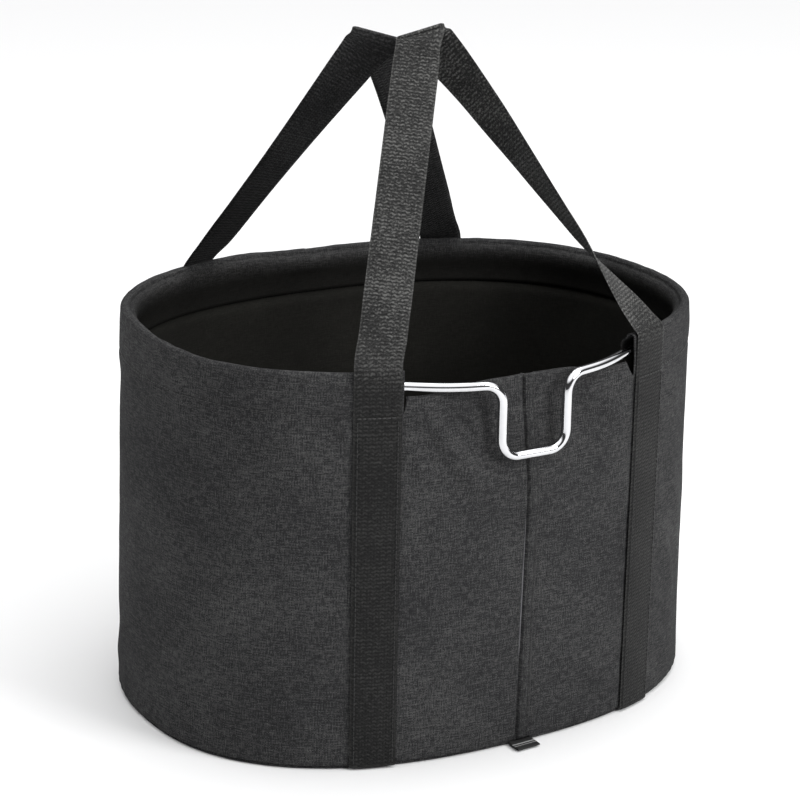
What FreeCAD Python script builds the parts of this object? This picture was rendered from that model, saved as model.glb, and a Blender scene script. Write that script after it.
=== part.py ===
import FreeCAD, Part
import math
import os
from FreeCAD import Vector as V

# Oval open-topped cloth carrying tub with a wire-stiffened rim, a wire hanging
# loop at the middle of the front, four sewn webbing straps and two webbing
# carrying handles. Millimetres. Origin: centre of the underside, +Z up,
# +X along the long side, front (hanging loop, centre seam) towards -Y.

# ---------------------------------------------------------------- dimensions
HEIGHT = 260.0          # floor to rim crest
RIM_A, RIM_B, RIM_N = 190.0, 146.0, 2.33      # half length, half depth, squareness at the rim
BASE_A, BASE_B, BASE_N = 194.9, 145.0, 2.38   # the same at the base

CLOTH = 1.0             # outer cloth with its coating
FOAM = 2.0              # stiffening foam sheet
LINING = 0.6            # lining cloth
GAP = 0.35              # air between layers

HEM_DEPTH = 30.0        # rim hem, crest to stitch line
HEM_R = 5.5             # outside radius of the rolled crest
HEM_PLY = 1.2           # one ply of the hem
MOUTH_X = 84.5          # half distance between the two open ends of the hem tunnel
DISH = 7.0              # how far the front panel is drawn in at its top edge
DISH_HALF = 84.0        # half width of the drawn-in part
DISH_Z0 = 178.0         # where the drawing-in starts
PANEL_TOP = 244.3       # top edge of the front panel behind the hanging loop
PANEL_END = 240.6       # the same near the tunnel ends, just under the wire

WIRE_D = 6.0            # rim wire
WIRE_Z = 251.0          # wire centre inside the hem
LOOP_Z = 245.0          # wire centre where the hanging loop turns down
LOOP_HALF = 23.5        # hanging loop, half of its width between wire centres
LOOP_DROP = 46.6        # hanging loop, drop between wire centres
LOOP_R = 12.0           # hanging loop bend radius
LOOP_Y = -151.5         # plane of the hanging loop
SLEEVE_L, SLEEVE_D = 34.0, 8.0

STRAP_W = 30.0          # webbing width
STRAP_T = 1.6           # webbing thickness
STRAP_X = 99.25         # strap centre line
STRAP_X0, STRAP_X1 = 85.2, 113.3
STRAP_TOP = 253.6       # sewn straps end here and the free handles begin
REAR_DX = (10.0, 4.0)   # the rear webbing slants sideways by this between its cross stitches and the rim
HINGE_Y = 143.0         # fold line of the handles, outside the rim
HINGE_Z = 254.5

BOARD_T = 3.0           # stiffening board in the base
BASE_CLOTH = 1.2
N_PTS = 84              # points round each ring

os.makedirs("parts", exist_ok=True)
made = {}


def lerp(p, q, t):
    return p + (q - p) * t


def dish(x, z):
    """Inward displacement of the front panel."""
    if abs(x) >= DISH_HALF or z <= DISH_Z0:
        return 0.0
    u = 0.5 * (1 + math.cos(math.pi * x / DISH_HALF))
    t = min(1.0, (z - DISH_Z0) / (PANEL_TOP - DISH_Z0))
    return DISH * u * t * t * (3 - 2 * t) if t < 1 else DISH * u


def ring_point(theta, off, z, dished=True):
    t = z / HEIGHT
    a, b, n = lerp(BASE_A, RIM_A, t) - off, lerp(BASE_B, RIM_B, t) - off, lerp(BASE_N, RIM_N, t)
    c, s = math.cos(theta), math.sin(theta)
    x = math.copysign(abs(c) ** (2 / n), c) * a
    y = math.copysign(abs(s) ** (2 / n), s) * b
    if dished and y < 0:
        y += dish(x, z)
    return V(x, y, z)


def wall_y(x, off, z, dished=True):
    """y of the front wall at x (negative)."""
    t = z / HEIGHT
    a, b, n = lerp(BASE_A, RIM_A, t) - off, lerp(BASE_B, RIM_B, t) - off, lerp(BASE_N, RIM_N, t)
    y = -b * (1 - (abs(x) / a) ** n) ** (1 / n)
    return y + (dish(x, z) if dished else 0.0)


def ring(off, z, dished=True):
    pts = [ring_point(2 * math.pi * i / N_PTS, off, z, dished) for i in range(N_PTS)]
    c = Part.BSplineCurve()
    c.interpolate(Points=pts, PeriodicFlag=True)
    return c.toShape()


def lathe(section, dished=True):
    """A solid ring whose cross-section is the closed polygon of (offset inwards, z)."""
    edges = [ring(o, z, dished) for o, z in section]
    faces = []
    for i in range(len(edges)):
        faces.append(Part.makeRuledSurface(edges[i], edges[(i + 1) % len(edges)]))
    shell = Part.makeShell(faces)
    shell.sewShape()
    solid = Part.makeSolid(shell)
    if solid.Volume < 0:
        solid.reverse()
    return solid


def plate(off, z0, z1):
    """An oval plate between two heights."""
    w0, w1 = Part.Wire(ring(off, z0)), Part.Wire(ring(off, z1))
    return Part.makeLoft([w0, w1], True, True)


def panel_z(x):
    """Top edge of the front panel, highest behind the hanging loop."""
    t = min(1.0, max(0.0, (abs(x) - 34.0) / 20.0))
    return lerp(PANEL_TOP, PANEL_END, 0.5 - 0.5 * math.cos(math.pi * t))


def front_strip(xs, section):
    """A solid strip along the front wall; section(x) gives its (offset inwards, z) corners at x."""
    rows_ = [[V(x, wall_y(x, o, z), z) for o, z in section(x)] for x in xs]
    n = len(rows_[0])
    lines = []
    for k in range(n):
        c = Part.BSplineCurve()
        c.interpolate([r[k] for r in rows_])
        lines.append(c.toShape())
    faces = [Part.makeRuledSurface(lines[k], lines[(k + 1) % n]) for k in range(n)]
    for r in (rows_[0], rows_[-1]):
        faces.append(Part.Face(Part.makePolygon(r + [r[0]])))
    shell = Part.makeShell(faces)
    shell.sewShape()
    solid = Part.makeSolid(shell)
    if solid.Volume < 0:
        solid.reverse()
    return solid


def front_prism(outline):
    """A prism through the front wall with an outline of (x, z) points."""
    pts = [V(x, -200, z) for x, z in outline]
    return Part.Face(Part.makePolygon(pts + [pts[0]])).extrude(V(0, 200, 0))


def box(x0, x1, y0, y1, z0, z1):
    return Part.makeBox(x1 - x0, y1 - y0, z1 - z0, V(x0, y0, z0))


def tube_path(points, radii):
    """A wire of straight runs joined by tangent arcs."""
    edges, last = [], points[0]
    for i in range(1, len(points) - 1):
        p, q, r = points[i - 1], points[i], points[i + 1]
        u, w = (p - q).normalize(), (r - q).normalize()
        ang = u.getAngle(w)
        rad = radii[i]
        cut = rad / math.tan(ang / 2)
        a, b = q + u * cut, q + w * cut
        bis = (u + w).normalize()
        mid = q + bis * (rad / math.sin(ang / 2) - rad)
        if (a - last).Length > 1e-4:
            edges.append(Part.LineSegment(last, a).toShape())
        edges.append(Part.Arc(a, mid, b).toShape())
        last = b
    edges.append(Part.LineSegment(last, points[-1]).toShape())
    return Part.Wire(edges)


def sweep_round(wire, d):
    e = wire.Edges[0]
    p, t = e.valueAt(e.FirstParameter), e.tangentAt(e.FirstParameter)
    prof = Part.Wire(Part.makeCircle(d / 2, p, t))
    s = wire.makePipeShell([prof], True, True)
    return s


def slab(stations, t):
    """A flat band through (centre, width vector, unit normal) stations, t thick."""
    wires = []
    for c, w, n in stations:
        h = n * (t / 2)
        k = w * 0.5
        pts = [c - k - h, c + k - h, c + k + h, c - k + h]
        wires.append(Part.makePolygon(pts + [pts[0]]))
    return Part.makeLoft(wires, True, True)


def row(p, q, nrm, w=0.7, t=0.5):
    """One straight row of stitching from p to q, lying on a face with outward normal nrm."""
    d = q - p
    side = d.cross(nrm).normalize() * (w / 2)
    up = nrm * t
    pts = [p - side, p + side, p + side + up, p - side + up]
    return Part.Face(Part.makePolygon(pts + [pts[0]])).extrude(d)


def put(name, shape):
    if isinstance(shape, list):
        shape = Part.makeCompound(shape)
    made[name] = shape


# ---------------------------------------------------------------- tub walls
zs_low = [4.0, 60.0, 120.0, DISH_Z0, 197.0, 214.0, 229.0]
hem_z = HEIGHT - HEM_DEPTH                     # 230, the hem stitch line
outer_line = [(1.9, 1.6), (0.5, 2.4), (0.0, 4.0)] + [(0.0, z) for z in zs_low[1:]]
inner_line = [(CLOTH, z) for z in reversed(zs_low)] + [(1.9, 2.6)]
top_zs = [238.0, PANEL_TOP + 1.0]
front_out = [(0.0, z) for z in top_zs]
front_in = [(CLOTH, z) for z in reversed(top_zs)]
full = lathe(outer_line + front_out + front_in + inner_line)
# above the hem line the front panel stands free of the hem at both ends
side = MOUTH_X - 5.0
edge_xs = [-side + 2 * side * k / 40 for k in range(41)]
outline = [(-MOUTH_X, 225.0), (-MOUTH_X, 229.0)] + [(x, panel_z(x)) for x in edge_xs] + [(MOUTH_X, 229.0), (MOUTH_X, 225.0)]
top_cut = box(-300, 300, -300, 300, 229.0, 300).cut(front_prism(outline))
outer_shell = full.cut(top_cut)
put("outer_shell", outer_shell)

s0 = CLOTH + GAP
foam_zs = [14.0, 60.0, 120.0, DISH_Z0, 197.0, 214.0, 226.0]
put("wall_stiffener", lathe([(s0, z) for z in foam_zs] + [(s0 + FOAM, z) for z in reversed(foam_zs)]))
s1 = s0 + FOAM + GAP
lin_zs = [8.2, 60.0, 120.0, DISH_Z0, 197.0, 214.0, 226.0]
put("lining_wall", lathe([(s1, z) for z in lin_zs] + [(s1 + LINING, z) for z in reversed(lin_zs)]))

# front panel facing between the tunnel ends: the lining side of the same panel
pz = [226.4, 233.0, 239.0]
facing = lathe([(s0, z) for z in pz] + [(s0 + LINING, z) for z in reversed(pz)])
put("front_facing", facing.common(front_prism([(-MOUTH_X + 0.8, 226.0), (-side, 239.4), (side, 239.4), (MOUTH_X - 0.8, 226.0)])))

# folded edge over the top of the front panel between the tunnel ends
def edge_section(x):
    z = panel_z(x)
    return [(-0.9, z - 6.5), (-0.9, z + 0.7), (-0.1, z + 1.5), (2.2, z + 1.5), (3.0, z + 0.7), (3.0, z - 1.4),
            (2.4, z - 1.4), (2.4, z + 0.4), (-0.25, z + 0.4), (-0.25, z - 6.5)]


put("front_edge_hem", front_strip([-side + 1.0 + 2 * (side - 1.0) * k / 60 for k in range(61)], edge_section))

# rolled rim hem: outer ply, crest round the wire, inner ply
cz = HEIGHT - HEM_R
r_out, r_in = HEM_R, HEM_R - HEM_PLY
sec = [(0.0, hem_z - 0.4), (0.0, cz)]
for k in range(1, 8):
    a = math.pi * k / 8
    sec.append((HEM_R - r_out * math.cos(a), cz + r_out * math.sin(a)))
sec += [(2 * HEM_R, cz), (2 * HEM_R, 246.0), (s1 + LINING + 1.4, 232.0), (s1 + LINING + 1.4, hem_z - 0.4)]
sec += [(s1 + LINING + 0.2, hem_z - 0.4), (s1 + LINING + 0.2, 232.4), (2 * HEM_R - HEM_PLY, 246.4), (2 * HEM_R - HEM_PLY, cz)]
for k in range(7, 0, -1):
    a = math.pi * k / 8
    sec.append((HEM_R - r_in * math.cos(a), cz + r_in * math.sin(a)))
sec += [(HEM_PLY, cz), (HEM_PLY, hem_z - 0.4)]
hem = lathe(sec, dished=False).cut(box(-MOUTH_X - 0.5, MOUTH_X + 0.5, -200, 0, 200, 300))
put("hem_tunnel", hem)

# ---------------------------------------------------------------- base
put("base_cloth", plate(2.1, 0.0, BASE_CLOTH))
put("base_board", plate(6.6, 1.5, 1.5 + BOARD_T))
put("base_lining", plate(5.0, 4.85, 4.85 + LINING))
# bound seam allowance standing up inside the bottom edge
put("base_seam_binding", lathe([(CLOTH + 0.4, 4.8), (CLOTH + 0.4, 13.4), (CLOTH + 2.2, 13.4), (CLOTH + 2.2, 4.8)]))

# ---------------------------------------------------------------- rim wire
# straight runs joined by tangent arcs, from the middle of the back round both
# ends to the front, with the hanging loop bent down at the middle of the front
pts, rad = [], []


def hem_pt(x, sgn):
    t = WIRE_Z / HEIGHT
    a, b, n = lerp(BASE_A, RIM_A, t) - HEM_R, lerp(BASE_B, RIM_B, t) - HEM_R, lerp(BASE_N, RIM_N, t)
    return a, b, n


def oval(theta, off):
    t = WIRE_Z / HEIGHT
    a, b, n = lerp(BASE_A, RIM_A, t) - off, lerp(BASE_B, RIM_B, t) - off, lerp(BASE_N, RIM_N, t)
    c, s = math.cos(theta), math.sin(theta)
    return V(math.copysign(abs(c) ** (2 / n), c) * a, math.copysign(abs(s) ** (2 / n), s) * b, WIRE_Z)


right = [V(0.6, oval(math.pi / 2, HEM_R).y, WIRE_Z), V(34, oval(math.pi / 2, HEM_R).y, WIRE_Z)]
for deg, dz in ((73, 0), (63, 0), (53, 0), (43, 0), (33, 0), (23, 0), (12, 0), (0, 0), (-12, 0), (-23, 0), (-33, -0.4), (-43, -1.3), (-53, -2.6)):
    right.append(oval(math.radians(deg), HEM_R - 0.35) + V(0, 0, dz))
# out of the hem, over the end of the front panel and down to the loop
right.append(V(84.0, -130.6, 247.0))
right.append(V(56.0, -144.2, 245.7))
right.append(V(LOOP_HALF, LOOP_Y + 0.4, LOOP_Z))
right.append(V(LOOP_HALF, LOOP_Y, LOOP_Z - LOOP_DROP))
left = [V(-p.x, p.y, p.z) for p in reversed(right)]
path = right + left
n_right = len(right)
for i, p in enumerate(path):
    if 0 < i < len(path) - 1:
        u, w = path[i - 1] - p, path[i + 1] - p
        ang = u.getAngle(w)
        short = min(u.Length, w.Length)
        r = 0.46 * short * math.tan(ang / 2)
        if abs(abs(p.x) - LOOP_HALF) < 0.01:
            r = LOOP_R
        rad.append(min(r, 400.0))
    else:
        rad.append(0)
wire_line = tube_path(path, rad)
rim_wire = sweep_round(wire_line, WIRE_D)
put("rim_wire", rim_wire)
print("wire length", round(wire_line.Length, 1), "volume ratio",
      round(rim_wire.Volume / (math.pi * WIRE_D ** 2 / 4 * wire_line.Length), 4))
print("wire radii", [round(r, 1) for r in rad if r])

sy = right[0].y
sl = Part.makeCylinder(SLEEVE_D / 2, SLEEVE_L, V(-SLEEVE_L / 2, sy, WIRE_Z), V(1, 0, 0))
sl = sl.cut(Part.makeCylinder(WIRE_D / 2 + 0.12, SLEEVE_L + 2, V(-SLEEVE_L / 2 - 1, sy, WIRE_Z), V(1, 0, 0)))
put("wire_sleeve", sl)

# ---------------------------------------------------------------- sewn straps
so, si = -(GAP + STRAP_T), -GAP
strap_zs = [1.2, 60.0, 120.0, DISH_Z0, 214.0, STRAP_TOP]
band = lathe([(so, z) for z in strap_zs] + [(si, z) for z in reversed(strap_zs)], dished=False)
for name, sx, fy in (("strap_front_left", -1, -1), ("strap_front_right", 1, -1), ("strap_rear_left", -1, 1), ("strap_rear_right", 1, 1)):
    x0, x1 = (STRAP_X0, STRAP_X1) if sx > 0 else (-STRAP_X1, -STRAP_X0)
    dx = 0.0 if fy < 0 else REAR_DX[0 if sx < 0 else 1]
    prism = front_prism([(x0, -5), (x1, -5), (x1, hem_z + 2.5), (x1 + dx, STRAP_TOP + 1), (x0 + dx, STRAP_TOP + 1), (x0, hem_z + 2.5)])
    if fy > 0:
        prism.translate(V(0, 200, 0))
    put(name, band.common(prism))


def wall_row(x, fy, z0, z1, off, w=0.7, t=0.45):
    p = V(x, fy * -wall_y(x, off, z0, False), z0)
    q = V(x, fy * -wall_y(x, off, z1, False), z1)
    sl_ = (wall_y(x + 0.5, off, 120, False) - wall_y(x - 0.5, off, 120, False)) * -fy
    nrm = V(sl_, -1 if fy < 0 else 1, 0) if fy < 0 else V(-sl_, 1, 0)
    nrm.normalize()
    return row(p, q, nrm, w, t)


rows = []
for sx in (-1, 1):
    for fy in (-1, 1):
        for x in (STRAP_X0 + 2.3, STRAP_X1 - 2.3):
            rows.append(wall_row(sx * x, fy, 3.0, 229.0, so - 0.06))
put("strap_edge_stitching", rows)

# cross rows where the handles leave the wall, at the hem stitch line
cross = []
cb = lathe([(so - 0.5, hem_z - 0.6), (so - 0.5, hem_z + 0.4), (so - 0.06, hem_z + 0.4), (so - 0.06, hem_z - 0.6)], dished=False)
for sx in (-1, 1):
    for y0, y1 in ((-200, 0), (0, 200)):
        x0, x1 = (STRAP_X0 + 1, STRAP_X1 - 1) if sx > 0 else (-STRAP_X1 + 1, -STRAP_X0 - 1)
        cross.append(cb.common(box(x0, x1, y0, y1, 0, 300)))
put("anchor_stitching", cross)

# stitching along the lower edge of the hem, between the straps
hs = lathe([(-0.55, hem_z + 1.4), (-0.55, hem_z + 2.1), (-0.08, hem_z + 2.1), (-0.08, hem_z + 1.4)], dished=False)
cutters = [box(-STRAP_X1 - 0.5, STRAP_X1 + 0.5, -200, 0, 200, 300)]
cutters += [box(STRAP_X0 - 0.5, STRAP_X1 + 0.5, 0, 200, 200, 300), box(-STRAP_X1 - 0.5, -STRAP_X0 + 0.5, 0, 200, 200, 300)]
for c in cutters:
    hs = hs.cut(c)
put("hem_stitching", hs)

# ---------------------------------------------------------------- centre seam
fz = [3.4, 60.0, 120.0, DISH_Z0, 197.0, 214.0, 229.0, PANEL_TOP - 7.0]
fell = lathe([(-0.75, z) for z in fz] + [(-0.12, z) for z in reversed(fz)])
put("centre_seam_fell", fell.common(box(0.6, 7.4, -200, 0, -5, 300)))
st = lathe([(-1.15, z) for z in fz[1:]] + [(-0.8, z) for z in reversed(fz[1:])])
put("centre_seam_stitching", [st.common(box(1.6, 2.3, -200, 0, -5, 300)), st.common(box(5.6, 6.3, -200, 0, -5, 300))])

# folded label held in the base seam
lab = box(-6.5, 10.5, -155.6, -144.6, 0.7, 1.25).fuse(box(-6.5, 10.5, -155.6, -144.6, 1.5, 2.05)).fuse(box(-6.5, 10.5, -155.6, -154.9, 0.7, 2.05))
put("side_label", lab.removeSplitter())

# ---------------------------------------------------------------- handles
# Each handle is one length of webbing, drawn up to a flat fold at the top.
# L is the edge away from the middle of the tub at its foot, R the edge nearer it.


FACE = V(0.48973362, 0.81679835, -0.30496137)      # the tops of the handles face away from this
SIDE_R = V(0.86074691, -0.50864283, 0.01993064)
SIDE_U = V(0.1388371, 0.27225526, 0.95215615)


def unit(v):
    q = V(v)
    q.normalize()
    return q


def handle(side, fold_l, fold_r, dx_l, dx_r, table_l, table_r, flip_r=False):
    """side -1 front, +1 rear. Tables: (share of the leg, roll from broad face-on in degrees, shifts in mm)."""
    fold_c = (fold_l + fold_r) * 0.5
    f = unit(fold_r - fold_l)
    feet = []
    for sx, dx in ((-1, dx_l), (1, dx_r)):
        x = sx * STRAP_X + dx
        yo = side * -wall_y(x + sx * 14.05, 0, 255, False)
        yi = side * -wall_y(x - sx * 14.05, 0, 255, False)
        wdir = unit(V(-sx * 28.1, yi - yo, 0))
        nrm = V(0, 0, 1).cross(wdir)
        if nrm.y * side < 0:
            nrm = nrm * -1
        mid = V(x, side * -wall_y(x, 0, 255, False), STRAP_TOP + 0.7)
        mid = mid + nrm * (GAP + STRAP_T / 2 + 0.05)
        flip = -1 if (flip_r and sx > 0) else 1
        foot = [(V(mid), wdir * flip, nrm * flip)]
        top = unit(fold_c - V(mid.x, mid.y, cz))
        lean = math.atan2(-top.y * side, top.z)
        rr = HEM_R + GAP + STRAP_T / 2 + 0.1
        ctr = V(mid.x, mid.y, 0) - nrm * rr
        for k in (0.35, 0.7, 1.0):
            a = lean * k
            c = ctr + nrm * (rr * math.cos(a)) + V(0, 0, cz + rr * math.sin(a))
            foot.append((c, wdir * flip, (nrm * math.cos(a) + V(0, 0, math.sin(a))) * flip))
        feet.append(foot)

    def normal(w, d):
        return unit(w.cross(d)) * (-side)

    def leg(c0, c1, table):
        d = unit(c1 - c0)
        wf = unit(FACE.cross(d))
        if wf.x < 0:
            wf = wf * -1
        bf = d.cross(wf)
        out = []
        for t, roll, ra, ua in table:
            w = wf * math.cos(math.radians(roll)) + bf * math.sin(math.radians(roll))
            out.append((c0 + (c1 - c0) * t + SIDE_R * ra + SIDE_U * ua, w, normal(w, d)))
        return out

    footl, footr = feet
    st_ = list(footl) + leg(footl[-1][0], fold_c, table_l)
    # flat fold: front layer to back layer round a small radius
    rr = 0.98
    away = V(0.4863, 0.8063, 0.0)
    away = unit(away - f * away.dot(f))
    up = f.cross(away)
    if up.z < 0:
        up = up * -1
    base = fold_c - up * rr
    wide = 1 / math.sqrt(1 - f.dot(unit(fold_c - footl[-1][0])) ** 2)   # the fold runs across the webbing at a slant
    for k in range(0, 7):
        a = math.pi * k / 6
        dirn = up * math.sin(a) - away * math.cos(a)
        st_.append((base + away * rr + dirn * rr, f * wide, dirn * (1 if side < 0 else -1)))
    st_ += leg(st_[-1][0], footr[-1][0], table_r)
    st_ += list(reversed(footr))
    return [(c, w * STRAP_W, n) for c, w, n in st_]


front_st = handle(-1, V(-13.4, -0.6, 431.1), V(12.6, -12.6, 440.0), 0.0, 0.0,
                  [(0.1, -8, 0, 0), (0.25, 0, 0, 0), (0.5, 0, 0, 0), (0.75, 0, 0, 0), (0.9, -4, 0, 0), (0.97, -10, 0, 0)],
                  [(0.05, 20, 2.0, 1.2), (0.12, 35, 2.8, 2.0), (0.2, 45, 3.0, 2.3), (0.3, 53, 2.7, 2.1), (0.4, 62, 2.2, 1.7),
                   (0.5, 70, 1.6, 1.2), (0.6, 78, 1.0, 0.8), (0.7, 86, 0.5, 0.4), (0.77, 97, 0.2, 0.1), (0.84, 110, 0, 0),
                   (0.91, 122, 0, 0), (0.97, 128, 0, 0)])
rear_st = handle(1, V(-29.4, 26.0, 435.0), V(-6.6, 8.4, 428.6), REAR_DX[0], REAR_DX[1],
                 [(0.12, 64, 0, 0), (0.3, 61, 0, 0), (0.5, 55, 0, 0), (0.68, 45, 0, 0), (0.82, 33, 0, 0), (0.93, 18, 0, 0)],
                 [(0.06, 6, 1.5, 0), (0.15, 4, 2.6, 0.4), (0.3, 0, 3.2, 0.5), (0.45, 0, 2.8, 0.4), (0.6, 0, 2.0, 0.2), (0.8, 0, 1.0, 0), (0.93, 0, 0, 0)],
                 flip_r=True)
put("front_handle_webbing", slab(front_st, STRAP_T))
put("rear_handle_webbing", slab(rear_st, STRAP_T))

# ---------------------------------------------------------------- write
for name, shape in made.items():
    sol = shape.Solids
    bb = shape.BoundBox
    print("%-24s solids %d valid %s vol %.1f  x %.1f..%.1f y %.1f..%.1f z %.1f..%.1f" % (
        name, len(sol), all(s.isValid() for s in sol), sum(s.Volume for s in sol),
        bb.XMin, bb.XMax, bb.YMin, bb.YMax, bb.ZMin, bb.ZMax))
    out = sol[0] if len(sol) == 1 else Part.makeCompound(sol)
    out.exportStep("parts/%s.step" % name)
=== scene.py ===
import math
import bpy
import numpy as np
from mathutils import Matrix, Vector


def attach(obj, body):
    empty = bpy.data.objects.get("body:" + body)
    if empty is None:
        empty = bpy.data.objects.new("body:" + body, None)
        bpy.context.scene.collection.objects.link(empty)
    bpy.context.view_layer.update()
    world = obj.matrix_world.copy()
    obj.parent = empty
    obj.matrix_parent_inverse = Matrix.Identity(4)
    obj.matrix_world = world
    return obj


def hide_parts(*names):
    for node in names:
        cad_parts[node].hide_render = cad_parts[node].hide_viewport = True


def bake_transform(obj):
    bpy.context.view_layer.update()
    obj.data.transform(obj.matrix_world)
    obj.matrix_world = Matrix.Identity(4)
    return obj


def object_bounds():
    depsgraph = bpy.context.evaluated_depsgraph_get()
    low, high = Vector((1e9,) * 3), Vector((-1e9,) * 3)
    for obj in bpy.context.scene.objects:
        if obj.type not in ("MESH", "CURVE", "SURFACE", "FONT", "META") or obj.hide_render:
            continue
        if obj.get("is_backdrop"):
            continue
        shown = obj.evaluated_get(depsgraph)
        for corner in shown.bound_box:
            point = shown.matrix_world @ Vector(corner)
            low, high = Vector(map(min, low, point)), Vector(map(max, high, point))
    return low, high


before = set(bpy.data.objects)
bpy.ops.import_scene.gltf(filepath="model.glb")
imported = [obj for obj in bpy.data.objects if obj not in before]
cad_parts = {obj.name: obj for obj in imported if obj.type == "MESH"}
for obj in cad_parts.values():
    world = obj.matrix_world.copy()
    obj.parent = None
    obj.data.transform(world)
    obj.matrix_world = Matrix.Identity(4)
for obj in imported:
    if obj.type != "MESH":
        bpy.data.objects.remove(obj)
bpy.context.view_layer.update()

MM = 0.001
rng = np.random.RandomState(7)

# ------------------------------------------------------------------ camera
cam_data = bpy.data.cameras.new("camera")
cam = bpy.data.objects.new("camera", cam_data)
bpy.context.scene.collection.objects.link(cam)
bpy.context.scene.camera = cam
cam_data.sensor_width = 36.0
cam_data.lens = 112.30
_r = Vector((0.86074691, -0.50864283, 0.01993064))
_u = Vector((0.1388371, 0.27225526, 0.95215615))
_b = Vector((-0.48973362, -0.81679835, 0.30496137))
_m = Matrix((_r, _u, _b)).transposed().to_4x4()
_m.translation = Vector((-0.81536404, -1.35079471, 0.69409352))
cam.matrix_world = _m
cam_data.clip_start, cam_data.clip_end = 0.05, 50

# ------------------------------------------------------------------ dimensions (mm), as in the CAD
HEIGHT = 260.0
RIM_A, RIM_B, RIM_N = 190.0, 146.0, 2.33
BASE_A, BASE_B, BASE_N = 194.9, 145.0, 2.38
HEM_DEPTH, HEM_R, HEM_PLY = 30.0, 5.5, 1.2
HEM_Z = HEIGHT - HEM_DEPTH
MOUTH_X = 84.5
DISH, DISH_Z0, PANEL_TOP, PANEL_END = 7.0, 178.0, 244.3, 240.6
STRAP_W, STRAP_T, STRAP_X = 30.0, 1.6, 99.25
STRAP_X0, STRAP_X1 = 85.2, 113.3
GAP = 0.35
CZ = HEIGHT - HEM_R


# ------------------------------------------------------------------ materials
class M:
    """Small helper round a node material."""

    def __init__(self, name, base=(0.05, 0.05, 0.05), rough=0.8, metallic=0.0, spec=0.5):
        self.mat = bpy.data.materials.new(name)
        self.mat.use_nodes = True
        self.nt = self.mat.node_tree
        self.nt.nodes.clear()
        self.out = self.nt.nodes.new("ShaderNodeOutputMaterial")
        self.b = self.nt.nodes.new("ShaderNodeBsdfPrincipled")
        self.nt.links.new(self.b.outputs[0], self.out.inputs[0])
        self.b.inputs["Base Color"].default_value = (*base, 1)
        self.b.inputs["Roughness"].default_value = rough
        self.b.inputs["Metallic"].default_value = metallic
        self.b.inputs["Specular IOR Level"].default_value = spec

    def n(self, kind, **props):
        x = self.nt.nodes.new(kind)
        for k, v in props.items():
            setattr(x, k, v)
        return x

    def link(self, a, b):
        self.nt.links.new(a, b)

    def math(self, op, a, b=None, clamp=False):
        x = self.n("ShaderNodeMath", operation=op, use_clamp=clamp)
        for i, v in enumerate((a, b)):
            if v is None:
                continue
            if isinstance(v, (int, float)):
                x.inputs[i].default_value = v
            else:
                self.link(v, x.inputs[i])
        return x.outputs[0]

    def uv(self):
        t = self.n("ShaderNodeUVMap", uv_map="UVMap")
        s = self.n("ShaderNodeSeparateXYZ")
        self.link(t.outputs[0], s.inputs[0])
        return t.outputs[0], s.outputs[0], s.outputs[1]

    def combine(self, a, b, c=0.0):
        x = self.n("ShaderNodeCombineXYZ")
        for i, v in enumerate((a, b, c)):
            if isinstance(v, (int, float)):
                x.inputs[i].default_value = v
            else:
                self.link(v, x.inputs[i])
        return x.outputs[0]

    def noise(self, vec, scale=1.0, detail=2.0, rough=0.5):
        x = self.n("ShaderNodeTexNoise")
        x.inputs["Scale"].default_value = scale
        x.inputs["Detail"].default_value = detail
        x.inputs["Roughness"].default_value = rough
        self.link(vec, x.inputs["Vector"])
        return x.outputs["Fac"]

    def ramp(self, fac, stops):
        x = self.n("ShaderNodeValToRGB")
        e = x.color_ramp.elements
        while len(e) > 1:
            e.remove(e[-1])
        e[0].position, e[0].color = stops[0][0], (*stops[0][1], 1)
        for p, c in stops[1:]:
            k = e.new(p)
            k.color = (*c, 1)
        self.link(fac, x.inputs[0])
        return x.outputs[0]

    def maprange(self, v, a, b, c, d):
        x = self.n("ShaderNodeMapRange")
        for i, q in zip((1, 2, 3, 4), (a, b, c, d)):
            x.inputs[i].default_value = q
        self.link(v, x.inputs[0])
        return x.outputs[0]

    def bump(self, height, strength, dist, normal=None):
        x = self.n("ShaderNodeBump")
        x.inputs["Strength"].default_value = strength
        x.inputs["Distance"].default_value = dist
        self.link(height, x.inputs["Height"])
        if normal is not None:
            self.link(normal, x.inputs["Normal"])
        return x.outputs[0]

    def mixc(self, fac, a, b, mode="MIX"):
        x = self.n("ShaderNodeMix", data_type="RGBA", blend_type=mode)
        if isinstance(fac, (int, float)):
            x.inputs[0].default_value = fac
        else:
            self.link(fac, x.inputs[0])
        for i, v in ((6, a), (7, b)):
            if isinstance(v, tuple):
                x.inputs[i].default_value = (*v, 1)
            else:
                self.link(v, x.inputs[i])
        return x.outputs[2]


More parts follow.
